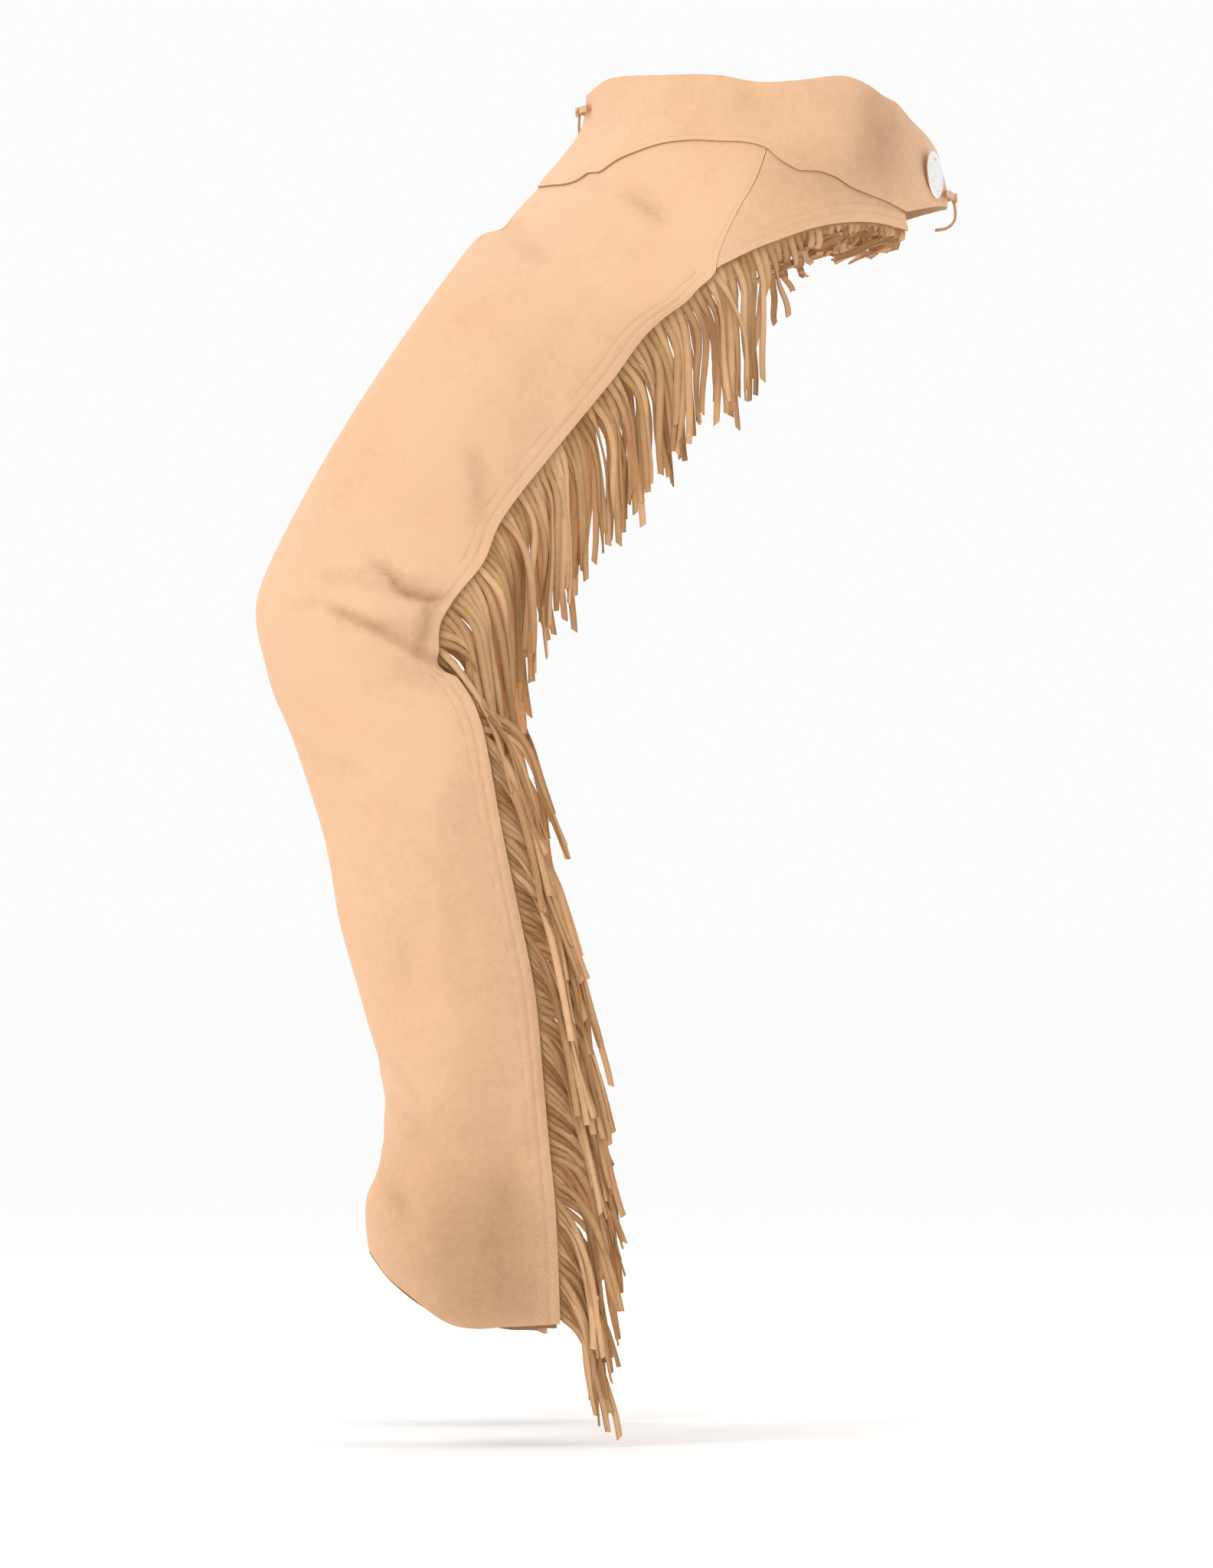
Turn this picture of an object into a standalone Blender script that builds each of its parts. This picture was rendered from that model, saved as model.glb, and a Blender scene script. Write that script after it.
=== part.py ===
# Western riding chaps of smooth suede, holding the pose of a seated rider.
# Metres, +Z up. The wearer faces -Y and the wearer's left is +X.
# The origin is the middle of the waist, at the height of the yoke's top edge.

import math

import bmesh
import bpy
from mathutils import Vector

MM = 0.001

# Driving sizes
LEATHER = 2.0 * MM
YOKE_LEATHER = 2.2 * MM
FRINGE_LEATHER = 1.2 * MM
SEAM_GAP = 0.3 * MM
HIP_SEAM_GAP = 0.6 * MM
YOKE_LIFT = 0.8 * MM
YOKE_LAP = 11.0 * MM
STRIP_DEPTH = 2.8 * MM
STRIP_WIDTH = 12.0 * MM
STRIP_OVERHANG = 1.5 * MM
STRIP_END_TRIM = 2.0 * MM
CORNER_TRIM = 5.0 * MM
KNEE_TRIM = 3.0 * MM
TUCK_DEPTH = 6.8 * MM
STRAND_LENGTH = 132.0 * MM
STRAND_UNEVEN = 0.05
STRAND_STEPS = 24
CONCHO_RADIUS = 17.0 * MM
TIE_LIFT = 0.7 * MM
TIE_CROWN = 0.6 * MM
CONCHO_ANGLE = -67
CONCHO_HEIGHT = -67 * MM
THONG_LEATHER = 1.8 * MM
THONG_WIDTH = 5.0 * MM
TAIL_WIDTH = 4.4 * MM
KNOT_WIDTH = 10.0 * MM
KNOT_DEPTH = 5.0 * MM
KNOT_HALF_SHARES = (0.62, 0.50, 0.95)

# Rings round one leg, from the waist to the hem, in millimetres.
# Each is an ellipse through its front, side and back points, which are given as y and z
# in the side view. centre_x and half_width place it across the body. seam is the part
# of the way from the side point to the back point at which the fringe line lies, and flap
# says how flat the cloth runs out to that line, from 0, round, to 1.
RING_COLUMNS = ("name", "rows", "front_y", "front_z", "side_y", "side_z", "back_y", "back_z",
                "centre_x", "half_width", "seam", "flap")
RINGS = (
    ("waist",       1, -127,    0,   -1,    0,  111,    0,   0, 160, 0.00, 0.00),
    ("hip top",     1, -131,  -30,   -1,  -28,  116,  -30,   0, 168, 0.00, 0.00),
    ("yoke foot",   2, -147,  -54,   -3,  -53,  122,  -57,   0, 176, 0.00, 0.00),
    ("hip crease",  2, -170,  -79,  -19,  -88,  128,  -88,  10, 176, 0.00, 0.00),
    ("corner",      2, -193, -103,  -61, -135,  129, -147,  40, 158, 0.12, 0.10),
    ("seat",        2, -210, -115, -108, -159,  -19, -175,  88, 122, 0.45, 0.40),
    ("crotch",      2, -226, -135, -168, -178,  -99, -227, 130,  98, 0.80, 0.85),
    ("thigh",       2, -263, -188, -209, -231, -151, -276, 170,  86, 0.90, 1.00),
    ("thigh low",   2, -299, -244, -242, -281, -186, -317, 203,  78, 0.94, 1.00),
    ("knee top",    2, -333, -304, -266, -325, -198, -346, 232,  73, 0.94, 1.00),
    ("knee",        2, -359, -359, -288, -365, -217, -370, 254,  70, 0.94, 1.00),
    ("knee fold",   2, -363, -387, -296, -389, -229, -392, 262,  68, 0.94, 1.00),
    ("shin top",    2, -356, -419, -291, -418, -227, -417, 264,  66, 0.94, 1.00),
    ("calf",        2, -337, -471, -268, -466, -199, -461, 262,  66, 0.94, 1.00),
    ("calf mid",    2, -315, -540, -250, -538, -185, -536, 258,  64, 0.94, 1.00),
    ("calf low",    2, -304, -600, -238, -599, -172, -598, 254,  62, 0.94, 1.00),
    ("shin",        2, -289, -654, -226, -652, -162, -650, 250,  60, 0.94, 1.00),
    ("ankle",       2, -275, -709, -216, -708, -157, -707, 246,  58, 0.94, 1.00),
    ("instep",      2, -275, -760, -213, -760, -152, -760, 244,  60, 0.94, 1.00),
    ("boot",        3, -286, -809, -217, -809, -147, -808, 243,  64, 0.94, 1.00),
    ("hem",         0, -272, -891, -208, -891, -144, -891, 242,  66, 0.94, 1.00),
)
RING_INDEX = {row[0]: index for index, row in enumerate(RINGS)}

# Heights of cut edges, in millimetres, by the angle round the ring: 0 faces outward,
# 90 is the front, 180 the inside of the leg and -90 the back.
YOKE_TOP = (
    (-86, -52), (-71, -38), (-60, -27), (-53, -16), (-47, -11), (-41, -5), (-34, 0), (-28, 2),
    (-10, -2), (3, -3), (16, 2), (35, 3), (62, 2), (76, -5), (88, -8),
)
YOKE_LOW = (
    (-86, -92), (-77, -92), (-52, -94), (-44, -87), (-38, -83), (-30, -77), (-24, -70),
    (-18, -66), (-12, -66), (-5, -58), (0, -50), (6, -46), (14, -45), (23, -44), (32, -46),
    (40, -52), (46, -59), (48.5, -66), (54, -66), (57, -71), (71, -74), (88, -73),
)
HIP_LOW = ((-52, -107), (-40, -102), (-29, -103), (-22, -107), (-16, -114), (-10, -124), (-6, -137))
BACK_TOP = -226
INNER_EDGE = (
    (86, -64), (92, -95), (100, -108), (118, -122), (135, -140), (155, -165), (175, -183),
)
HEM_LOW = (
    (-75, -882), (-20, -884), (0, -885), (15, -882), (28, -873), (38, -864), (57, -850),
    (80, -833), (100, -836), (125, -856), (150, -876), (180, -890), (230, -893), (305, -889),
)
HEM_BACK_ANGLE = 230
HEM_TUCK_ANGLE = 300

# Columns round the leg, in degrees on from the fringe line. The second lies LAP_WIDTH
# inside that line. The back of the leg then returns to the line by its own sections,
# each a share of the half width across and of the seam's depth back.
LAP = 1
LAP_WIDTH = 13.0 * MM
LEG_COLUMNS = (0, LAP, 23, 40, 56, 71, 86, 101, 117, 133, 149, 165, 180)
YOKE_FRONT_COLUMNS = 86
WRAP_COLUMNS = ("across", "back")
BACK_WRAP = ((-0.93, 0.40), (-0.70, 0.66), (-0.28, 0.81), (0.24, 0.84), (0.60, 0.83))
FLAP_FALL = 0.32

# Columns round the rear hip and on to the centre back, in degrees from the side seam
HIP_COLUMNS = (0, 12, 24, 38, 52)
YOKE_BACK_COLUMNS = (63, 75, 86)

# Largest folds: polylines in the side view, in millimetres, with the radius of their soft
# section and their depth, negative for a trough. reach says which side of the leg. The
# outer side fades into the inner one from FACING_FROM, a cosine, over FACING_SPAN.
FOLD_COLUMNS = ("name", "reach", "radius", "depth", "route")
FOLDS = (
    ("knee pit upper",  "outer", 11, -4.0, ((-212, -374), (-240, -372), (-262, -366), (-277, -346))),
    ("knee pit middle", "outer",  9, -3.5, ((-232, -379), (-276, -366), (-306, -355))),
    ("knee pit lower",  "outer", 11, -5.0, ((-230, -407), (-261, -396), (-292, -381), (-338, -374))),
    ("knee pit under",  "outer", 10, -3.0, ((-226, -428), (-252, -418), (-277, -404))),
    ("knee pit roll",   "outer",  9,  3.0, ((-232, -392), (-262, -382), (-296, -369))),
    ("thigh dent",      "outer", 16, -3.0, ((-213, -258), (-203, -313))),
    ("hip crease",      "outer", 12, -3.5, ((-142, -74), (-111, -79), (-93, -86), (-65, -106))),
    ("groin notch",     "outer", 11, -5.0, ((-186, -100), (-172, -122), (-150, -140))),
    ("groin roll",      "outer", 14,  3.0, ((-205, -104), (-190, -128))),
    ("ankle upper",     "outer", 10, -3.0, ((-272, -716), (-246, -757))),
    ("ankle lower",     "outer", 10, -3.0, ((-277, -774), (-258, -808))),
    ("shin dent",       "outer", 20, -2.5, ((-206, -630), (-212, -730))),
    ("back dent",       "outer", 14, -3.0, ((70, -6), (77, -32))),
    ("inner knee",      "inner", 11, -4.0, ((-226, -380), (-262, -372), (-304, -360))),
    ("inner knee low",  "inner", 11, -4.0, ((-228, -412), (-262, -400), (-318, -384))),
    ("inner thigh",     "inner", 16, -3.0, ((-190, -245), (-225, -300))),
    ("inner ankle",     "inner", 11, -3.0, ((-268, -730), (-236, -772))),
)
FOLD_TAPER = 14.0
FACING_FROM = -0.45
FACING_SPAN = 0.6

# Fringe strips. pitch is the spacing of the roots, turn the length in which a strand comes
# down, and back and lean its slants rearward and away from the body. From the share of the
# strip that change gives, they move to end_back and end_lean at its foot. layers is the
# number of depths that the strands take in turn, layer_step apart. cuts divide a strand's
# length.
FRINGE_COLUMNS = ("name", "pitch", "width", "turn", "back", "end_back", "lean", "end_lean",
                  "change", "layers", "layer_step", "cuts")
FRINGES = (
    ("hip",   11.0, 5.6, 30, 0.07, 0.07, 0.00,  0.00, 0.00, 1, 0.0, (0.18, 0.50, 1.0)),
    ("thigh", 11.5, 5.6, 30, 0.07, 0.26, 0.00, -0.30, 0.66, 1, 0.0, (0.18, 0.50, 1.0)),
    ("shin",  11.5, 5.0, 34, 0.52, 0.32, 0.03,  0.03, 0.00, 2, 5.4, (0.09, 0.17, 0.26, 1.0)),
)
LAYER_HASTE = 5
KNEE_PIT_BARE = (-457 * MM, -384 * MM)

# Ties between the two yokes. Tails are steps of drop, spread from the middle and distance
# out from the cloth, in millimetres. outward is the way that a tie faces along y.
TIES = {
    "back": {"angles": (-73.5, -80, -86), "height": -80 * MM, "outward": 1,
             "tail": ((6, 1, 1.5), (12, 2, 1.5), (16, 3, -0.5), (19, 5, -5), (20, 8, -12))},
    "front": {"angles": (74, 80, 86), "height": -18 * MM, "outward": -1,
              "tail": ((8, 1, 0.5), (22, 1.5, 0), (40, 2, -1), (58, 2, -3))},
}

# Strands of the rear hip lie inward and level, as on a seat, from one y to the other
SEATED_FROM = -6 * MM
SEATED_TO = 44 * MM
SEATED_LEAN = 0.96
SEATED_RISE = 0.88
SEATED_FACE = 0.35

# Domed disc with a raised rim: shares of its radius, and heights in millimetres
CONCHO_PROFILE = (
    (0.0, 4.4), (0.235, 4.2), (0.50, 3.5), (0.735, 2.3), (0.835, 1.9), (0.876, 2.7),
    (0.959, 2.6), (1.0, 1.6), (0.988, 0.5), (0.953, 0.0), (0.0, 0.0),
)

LEATHER_COLOUR = (0.84, 0.56, 0.36, 1.0)
FRINGE_COLOUR = (0.74, 0.45, 0.26, 1.0)
METAL_COLOUR = (0.80, 0.80, 0.79, 1.0)


def clear_scene():
    for old in list(bpy.data.objects):
        bpy.data.objects.remove(old, do_unlink=True)


def make_material(name, colour, roughness, metallic):
    material = bpy.data.materials.new(name)
    material.use_nodes = True
    shader = material.node_tree.nodes["Principled BSDF"]
    shader.inputs["Base Color"].default_value = colour
    shader.inputs["Roughness"].default_value = roughness
    shader.inputs["Metallic"].default_value = metallic
    return material


def curve_value(values, place):
    """Smooth curve through equally spaced values, read at a place counted in steps."""
    last = len(values) - 1
    start = max(0, min(last - 1, math.floor(place)))
    part = place - start
    before = values[start - 1] if start > 0 else 2 * values[0] - values[1]
    after = values[start + 2] if start + 2 <= last else 2 * values[last] - values[last - 1]
    here, there = values[start], values[start + 1]
    return 0.5 * (2 * here + (there - before) * part
                  + (2 * before - 5 * here + 4 * there - after) * part ** 2
                  + (3 * here - before - 3 * there + after) * part ** 3)


def edge_height(edge, angle):
    """Height of a cut edge at an angle round the ring, in metres."""
    if angle <= edge[0][0]:
        return edge[0][1] * MM
    for (left, left_z), (right, right_z) in zip(edge, edge[1:]):
        if angle <= right:
            return (left_z + (right_z - left_z) * (angle - left) / (right - left)) * MM
    return edge[-1][1] * MM


def smooth_step(value):
    value = max(0.0, min(1.0, value))
    return value * value * (3 - 2 * value)


RING_TABLE = {column: [row[index] for row in RINGS] for index, column in enumerate(RING_COLUMNS)}


def ring_size(column, place):
    return curve_value(RING_TABLE[column], place)


def seam_angle(place):
    """Angle of the fringe line, or of the upright side seam above it."""
    return -math.degrees(math.asin(min(1.0, max(0.0, ring_size("seam", place)))))


def ring_point(angle, place):
    """Point of the plain surface, without folds, in metres."""
    sine = math.sin(math.radians(angle))
    end = "front" if sine >= 0 else "back"
    side_y = ring_size("side_y", place)
    side_z = ring_size("side_z", place)
    y = side_y + (ring_size(end + "_y", place) - side_y) * abs(sine)
    z = side_z + (ring_size(end + "_z", place) - side_z) * abs(sine)
    across = math.cos(math.radians(angle))
    if angle < 0:
        flap = max(0.0, ring_size("flap", place))
        across += flap * (1 - FLAP_FALL * sine ** 2 - across)
    x = ring_size("centre_x", place) + ring_size("half_width", place) * across
    return Vector((x, y, z)) * MM


def outward(angle, place):
    """Unit normal of the plain surface, away from the leg."""
    round_way = ring_point(angle + 1.0, place) - ring_point(angle - 1.0, place)
    down_way = ring_point(angle, place + 0.05) - ring_point(angle, place - 0.05)
    return round_way.cross(down_way).normalized()


def fold_depth(point, angle):
    """Depth of the folds at a point, by its distance from each fold's route."""
    outer_share = smooth_step((math.cos(math.radians(angle)) - FACING_FROM) / FACING_SPAN)
    depth = 0.0
    for row in FOLDS:
        fold = dict(zip(FOLD_COLUMNS, row))
        share = outer_share if fold["reach"] == "outer" else 1 - outer_share
        spot = (point.y / MM, point.z / MM)
        total = sum(math.dist(a, b) for a, b in zip(fold["route"], fold["route"][1:]))
        best = (1e9, 0.0)
        walked = 0.0
        for a, b in zip(fold["route"], fold["route"][1:]):
            length = math.dist(a, b)
            along = ((spot[0] - a[0]) * (b[0] - a[0]) + (spot[1] - a[1]) * (b[1] - a[1])) / length
            along = max(0.0, min(length, along))
            foot = (a[0] + (b[0] - a[0]) * along / length, a[1] + (b[1] - a[1]) * along / length)
            best = min(best, (math.dist(spot, foot), walked + along))
            walked += length
        away, along = best
        ends = min(1.0, (along + FOLD_TAPER) / (2 * FOLD_TAPER))
        ends *= min(1.0, (total - along + FOLD_TAPER) / (2 * FOLD_TAPER))
        depth += share * ends * fold["depth"] * math.exp(-(away / fold["radius"]) ** 2)
    return depth * MM


def skin_point(angle, place, lift=0.0):
    """Point of the folded surface, moved out along its normal by lift."""
    plain = ring_point(angle, place)
    return plain + outward(angle, place) * (fold_depth(plain, angle) + lift)


def place_of(above):
    """Place down the leg at which a falling measure reaches nought."""
    high, low = -0.5, RING_INDEX["hem"] + 0.6
    for _ in range(40):
        middle = (high + low) / 2
        if above(middle) > 0:
            high = middle
        else:
            low = middle
    return (high + low) / 2


def place_at_height(angle_at, height_at):
    """Place at which a column comes down to an edge, whose height varies round the leg."""
    return place_of(lambda place: ring_point(angle_at(place), place).z - height_at(angle_at(place)))


def lap_angle(place):
    """Angle of the line that lies inside the fringe line by the width of the lap."""
    depth = math.hypot(ring_size("back_y", place) - ring_size("side_y", place),
                       ring_size("back_z", place) - ring_size("side_z", place)) * MM
    return -math.degrees(math.asin(max(0.0, ring_size("seam", place)) - LAP_WIDTH / depth))


def leg_angle(column):
    if column == LAP:
        return lap_angle
    return lambda place: seam_angle(place) * (1 - column / 180) + column


def wrap_point(section, place):
    """Point on the back of the leg, between its inside and the fringe line."""
    across, back = section
    back *= ring_size("seam", place)
    y, z = (ring_size("side_" + way, place) * (1 - back) + ring_size("back_" + way, place) * back
            for way in "yz")
    x = ring_size("centre_x", place) + ring_size("half_width", place) * across
    return Vector((x, y, z)) * MM


def hip_angle(column):
    """Column round the rear hip, which starts at the side seam and ends square."""
    share = column / HIP_COLUMNS[-1]
    if share > 1:
        return lambda place: -column
    return lambda place: seam_angle(place) * (1 - share) - column


def leg_top_height(angle):
    if angle <= INNER_EDGE[0][0]:
        return edge_height(YOKE_LOW, angle) + YOKE_LAP
    return edge_height(INNER_EDGE, angle)


def grid_object(name, rows, wall, material, collection):
    """Shell through rows of points. The wall's thickness goes inward."""
    row_count, column_count = len(rows), len(rows[0])
    sheet = bmesh.new()
    bmesh.ops.create_grid(sheet, x_segments=column_count - 1, y_segments=row_count - 1, size=1)
    for vertex in sheet.verts:
        column = round((vertex.co.x + 1) / 2 * (column_count - 1))
        row = round((vertex.co.y + 1) / 2 * (row_count - 1))
        vertex.co = rows[row][column]
    return sheet_object(name, sheet, wall, material, collection)


def sheet_object(name, sheet, wall, material, collection):
    mesh = bpy.data.meshes.new(name)
    sheet.to_mesh(mesh)
    sheet.free()
    mesh.materials.append(material)
    item = bpy.data.objects.new(name, mesh)
    collection.objects.link(item)
    solid = item.modifiers.new("Leather", "SOLIDIFY")
    solid.thickness = wall
    solid.offset = -1
    return item


def row_places():
    """Places of the leg panel's rows, from the table's count for each stretch."""
    places = []
    for index, row in enumerate(RINGS[RING_INDEX["yoke foot"]:], RING_INDEX["yoke foot"]):
        count = row[RING_COLUMNS.index("rows")]
        places += [index + step / count for step in range(count)]
    return places + [RING_INDEX["hem"]]


def spread_place(place, top, low):
    """A row's own place in a column that starts at top and ends at low."""
    first, last = RING_INDEX["yoke foot"], RING_INDEX["hem"]
    settle, loosen = RING_INDEX["thigh low"], RING_INDEX["instep"]
    if place < settle:
        return top + (place - first) * (settle - top) / (settle - first)
    if place > loosen:
        return loosen + (place - loosen) * (low - loosen) / (last - loosen)
    return place


def leg_edge_places(angle_at):
    top = place_at_height(angle_at, leg_top_height)
    low = place_at_height(angle_at, lambda angle: edge_height(HEM_LOW, angle))
    return [spread_place(place, top, low) for place in row_places()]


def leg_panel_rows():
    """The leg panel's outer points, row by row, its far edge tucked under the fringe line."""
    columns = []
    for column in LEG_COLUMNS:
        angle_at = leg_angle(column)
        columns.append([skin_point(angle_at(place), place) for place in leg_edge_places(angle_at)])
    back_top, back_low = BACK_TOP * MM, edge_height(HEM_LOW, HEM_BACK_ANGLE)
    for section in BACK_WRAP:
        top = place_of(lambda place: wrap_point(section, place).z - back_top)
        low = place_of(lambda place: wrap_point(section, place).z - back_low)
        columns.append([wrap_point(section, spread_place(place, top, low))
                        for place in row_places()])
    for column in (LAP, 0):
        angle_at = leg_angle(column)
        top = place_of(lambda place: ring_point(angle_at(place), place).z - back_top)
        low = place_at_height(angle_at, lambda angle: edge_height(HEM_LOW, HEM_TUCK_ANGLE))
        spread = [spread_place(place, top, low) for place in row_places()]
        columns.append([skin_point(angle_at(place), place, -TUCK_DEPTH) for place in spread])
    return [list(row) for row in zip(*columns)]


def corner_row(places):
    """The row at which the side seam ends and the fringe line begins."""
    corner = RING_INDEX["corner"]
    return min(range(len(places)), key=lambda row: abs(places[row] - corner))


def hip_panel_rows():
    """The rear hip panel, whose rows meet the leg panel's rows along the side seam."""
    seam = leg_edge_places(leg_angle(0))
    seam = seam[:corner_row(seam) + 1]
    rows = [[] for _ in seam]
    for column in HIP_COLUMNS:
        angle_at = hip_angle(column)
        top = place_at_height(angle_at, lambda angle: edge_height(YOKE_LOW, angle) + YOKE_LAP)
        low = place_at_height(angle_at, lambda angle: edge_height(HIP_LOW, angle))
        if column == 0:
            top, low = seam[0], seam[-1]
        for row, place in zip(rows, seam):
            place = top + (low - top) * (place - seam[0]) / (seam[-1] - seam[0])
            row.append(skin_point(angle_at(place), place))
    for row in rows:
        row[0] = row[0].lerp(row[1], HIP_SEAM_GAP / (row[1] - row[0]).length)
    return [row[::-1] for row in rows]


def yoke_rows():
    columns = [hip_angle(column) for column in YOKE_BACK_COLUMNS[::-1]]
    hip_steps = HIP_COLUMNS[::-1]
    for wide, narrow in zip(hip_steps, hip_steps[1:]):
        columns += [hip_angle(wide), hip_angle((wide + narrow) / 2)]
    front = [column for column in LEG_COLUMNS if column <= YOKE_FRONT_COLUMNS]
    columns += [leg_angle(front[0]), leg_angle(front[1])]
    for narrow, wide in zip(front[1:], front[2:]):
        columns += [leg_angle((narrow + wide) / 2), leg_angle(wide)]
    rows = [[], [], [], [], []]
    for angle_at in columns:
        top = place_at_height(angle_at, lambda angle: edge_height(YOKE_TOP, angle))
        low = place_at_height(angle_at, lambda angle: edge_height(YOKE_LOW, angle))
        for index, row in enumerate(rows):
            place = top + (low - top) * index / (len(rows) - 1)
            row.append(skin_point(angle_at(place), place, YOKE_LIFT + YOKE_LEATHER))
    return rows


def strip_lines(edge, inside, trims):
    """Inner and outer line of a fringe strip under a cloth edge, with the cloth's normals.
    trims are the lengths by which it stops short of the edge's two ends."""
    edge, inside = list(edge), list(inside)
    for end, step, trim in ((0, 1, trims[0]), (-1, -1, trims[1])):
        share = trim / (edge[end + step] - edge[end]).length
        edge[end] = edge[end].lerp(edge[end + step], share)
        inside[end] = inside[end].lerp(inside[end + step], share)
    normals = []
    for index in range(len(edge)):
        ahead = edge[min(index + 1, len(edge) - 1)] - edge[max(index - 1, 0)]
        normals.append((inside[index] - edge[index]).cross(ahead).normalized())
    inner, outer = [], []
    for here, deep, normal in zip(edge, inside, normals):
        width = (deep - here).length
        down = -normal * STRIP_DEPTH
        inner.append(here.lerp(deep, min(1.0, STRIP_WIDTH / width)) + down)
        outer.append(here.lerp(deep, -STRIP_OVERHANG / width) + down)
    return inner, outer, normals


def strand_sections(root, leave, normal, fringe, number, progress):
    """Centres and half width vectors of one hanging strand."""
    wave = math.sin(number * 2.4) * 0.5 + math.sin(number * 0.83 + 1.0) * 0.5
    length = STRAND_LENGTH * (1 + STRAND_UNEVEN * wave)
    seated = 0.0
    if fringe["name"] == "hip":
        seated = smooth_step((root.y - SEATED_FROM) / (SEATED_TO - SEATED_FROM))
    foot = max(0.0, (progress - fringe["change"]) / (1 - fringe["change"]))
    lean = fringe["lean"] + (fringe["end_lean"] - fringe["lean"]) * foot
    back = fringe["back"] + (fringe["end_back"] - fringe["back"]) * foot
    hang = Vector((lean - SEATED_LEAN * seated, back, SEATED_RISE * seated - 1)).normalized()
    layer = number % fringe["layers"] * fringe["layer_step"] * MM
    place = root.copy()
    stops = [round(cut * STRAND_STEPS) for cut in fringe["cuts"]]
    sections = []
    for step in range(1, STRAND_STEPS + 1):
        done = step / STRAND_STEPS
        turned = smooth_step(done * length / (fringe["turn"] * MM))
        way = leave.lerp(hang, turned).normalized()
        face = normal.lerp(Vector((1, 0, SEATED_FACE * seated)), turned)
        face = (face - way * face.dot(way)).normalized()
        shift = layer * 2 * LAYER_HASTE / STRAND_STEPS * max(0.0, 1 - done * LAYER_HASTE)
        place = place + way * (length / STRAND_STEPS) + face * shift
        if step in stops:
            sections.append((place.copy(), way.cross(face) * fringe["width"] * MM / 2))
    return sections


def fringe_object(name, fringe, lines, material, collection):
    """One strip with its strands: a comb-shaped sheet, given its thickness as one piece."""
    inner, outer, normals = lines
    stations = []
    number = 0
    strands = []
    for index in range(len(outer) - 1):
        a, b = outer[index], outer[index + 1]
        length = (b - a).length
        count = max(1, round(length / (fringe["pitch"] * MM)))
        stations.append((index, 0.0, None))
        for cell in range(count):
            middle = (cell + 0.5) / count
            half = fringe["width"] * MM / 2 / length
            stations.append((index, middle - half, number))
            stations.append((index, middle + half, None))
            number += 1
    stations.append((len(outer) - 2, 1.0, None))
    sheet = bmesh.new()
    bmesh.ops.create_grid(sheet, x_segments=len(stations) - 1, y_segments=1, size=1)
    line_verts = {}
    for vertex in sheet.verts:
        column = round((vertex.co.x + 1) / 2 * (len(stations) - 1))
        index, part, _ = stations[column]
        source = outer if vertex.co.y > 0 else inner
        line_verts[(column, vertex.co.y > 0)] = vertex
        vertex.co = source[index].lerp(source[index + 1], part)
    for column, (index, part, strand) in enumerate(stations):
        if strand is not None:
            left, right = line_verts[(column, True)], line_verts[(column + 1, True)]
            root = (left.co + right.co) / 2
            along = (right.co - left.co).normalized()
            back = inner[index].lerp(inner[index + 1], part)
            leave = (left.co - back).normalized()
            leave = (leave - along * leave.dot(along)).normalized()
            normal = normals[index].lerp(normals[index + 1], part).normalized()
            if not KNEE_PIT_BARE[0] < root.z < KNEE_PIT_BARE[1]:
                strands.append((sheet.edges.get((left, right)), left, root, leave, normal, strand))
    for edge, left, root, leave, normal, strand in strands:
        sections = strand_sections(root, leave, normal, fringe, strand, strand / number)
        for centre, spread in sections:
            made = bmesh.ops.extrude_edge_only(sheet, edges=[edge])["geom"]
            new_verts = [item for item in made if isinstance(item, bmesh.types.BMVert)]
            edge = next(item for item in made if isinstance(item, bmesh.types.BMEdge)
                        and all(vert in new_verts for vert in item.verts))
            first = min(new_verts, key=lambda vert: (vert.co - left.co).length)
            second = new_verts[0] if first is new_verts[1] else new_verts[1]
            first.co = centre - spread
            second.co = centre + spread
            left = first
    bmesh.ops.recalc_face_normals(sheet, faces=sheet.faces)
    if sheet.faces[0].normal.dot(normals[0]) < 0:
        bmesh.ops.reverse_faces(sheet, faces=sheet.faces)
    return sheet_object(name, sheet, FRINGE_LEATHER, material, collection)


def concho_object(name, side, material, collection):
    """Domed metal disc with a raised rim, turned about its own axis."""
    outline = bmesh.new()
    points = [outline.verts.new((share * CONCHO_RADIUS, 0, height * MM))
              for share, height in CONCHO_PROFILE]
    for first, second in zip(points, points[1:]):
        outline.edges.new((first, second))
    mesh = bpy.data.meshes.new(name)
    outline.to_mesh(mesh)
    outline.free()
    mesh.materials.append(material)
    item = bpy.data.objects.new(name, mesh)
    collection.objects.link(item)
    turn = item.modifiers.new("Turned", "SCREW")
    turn.axis = "Z"
    turn.steps = 20
    turn.render_steps = 20
    turn.use_merge_vertices = True
    turn.merge_threshold = 0.00005
    place = place_at_height(lambda spot: CONCHO_ANGLE, lambda angle: CONCHO_HEIGHT)
    lift = YOKE_LIFT + YOKE_LEATHER + SEAM_GAP
    spot = skin_point(CONCHO_ANGLE, place, lift)
    facing = outward(CONCHO_ANGLE, place)
    spot.x *= side
    facing.x *= side
    item.location = spot
    item.rotation_mode = "QUATERNION"
    item.rotation_quaternion = facing.to_track_quat("Z", "Y")
    return item


def tie_spot(angle, height, lift):
    """Point over the yoke at an angle and height, right side mirrored by the angle's sign."""
    place = place_at_height(lambda spot: angle, lambda turned: height)
    return skin_point(angle, place, YOKE_LIFT + YOKE_LEATHER + lift)


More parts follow.
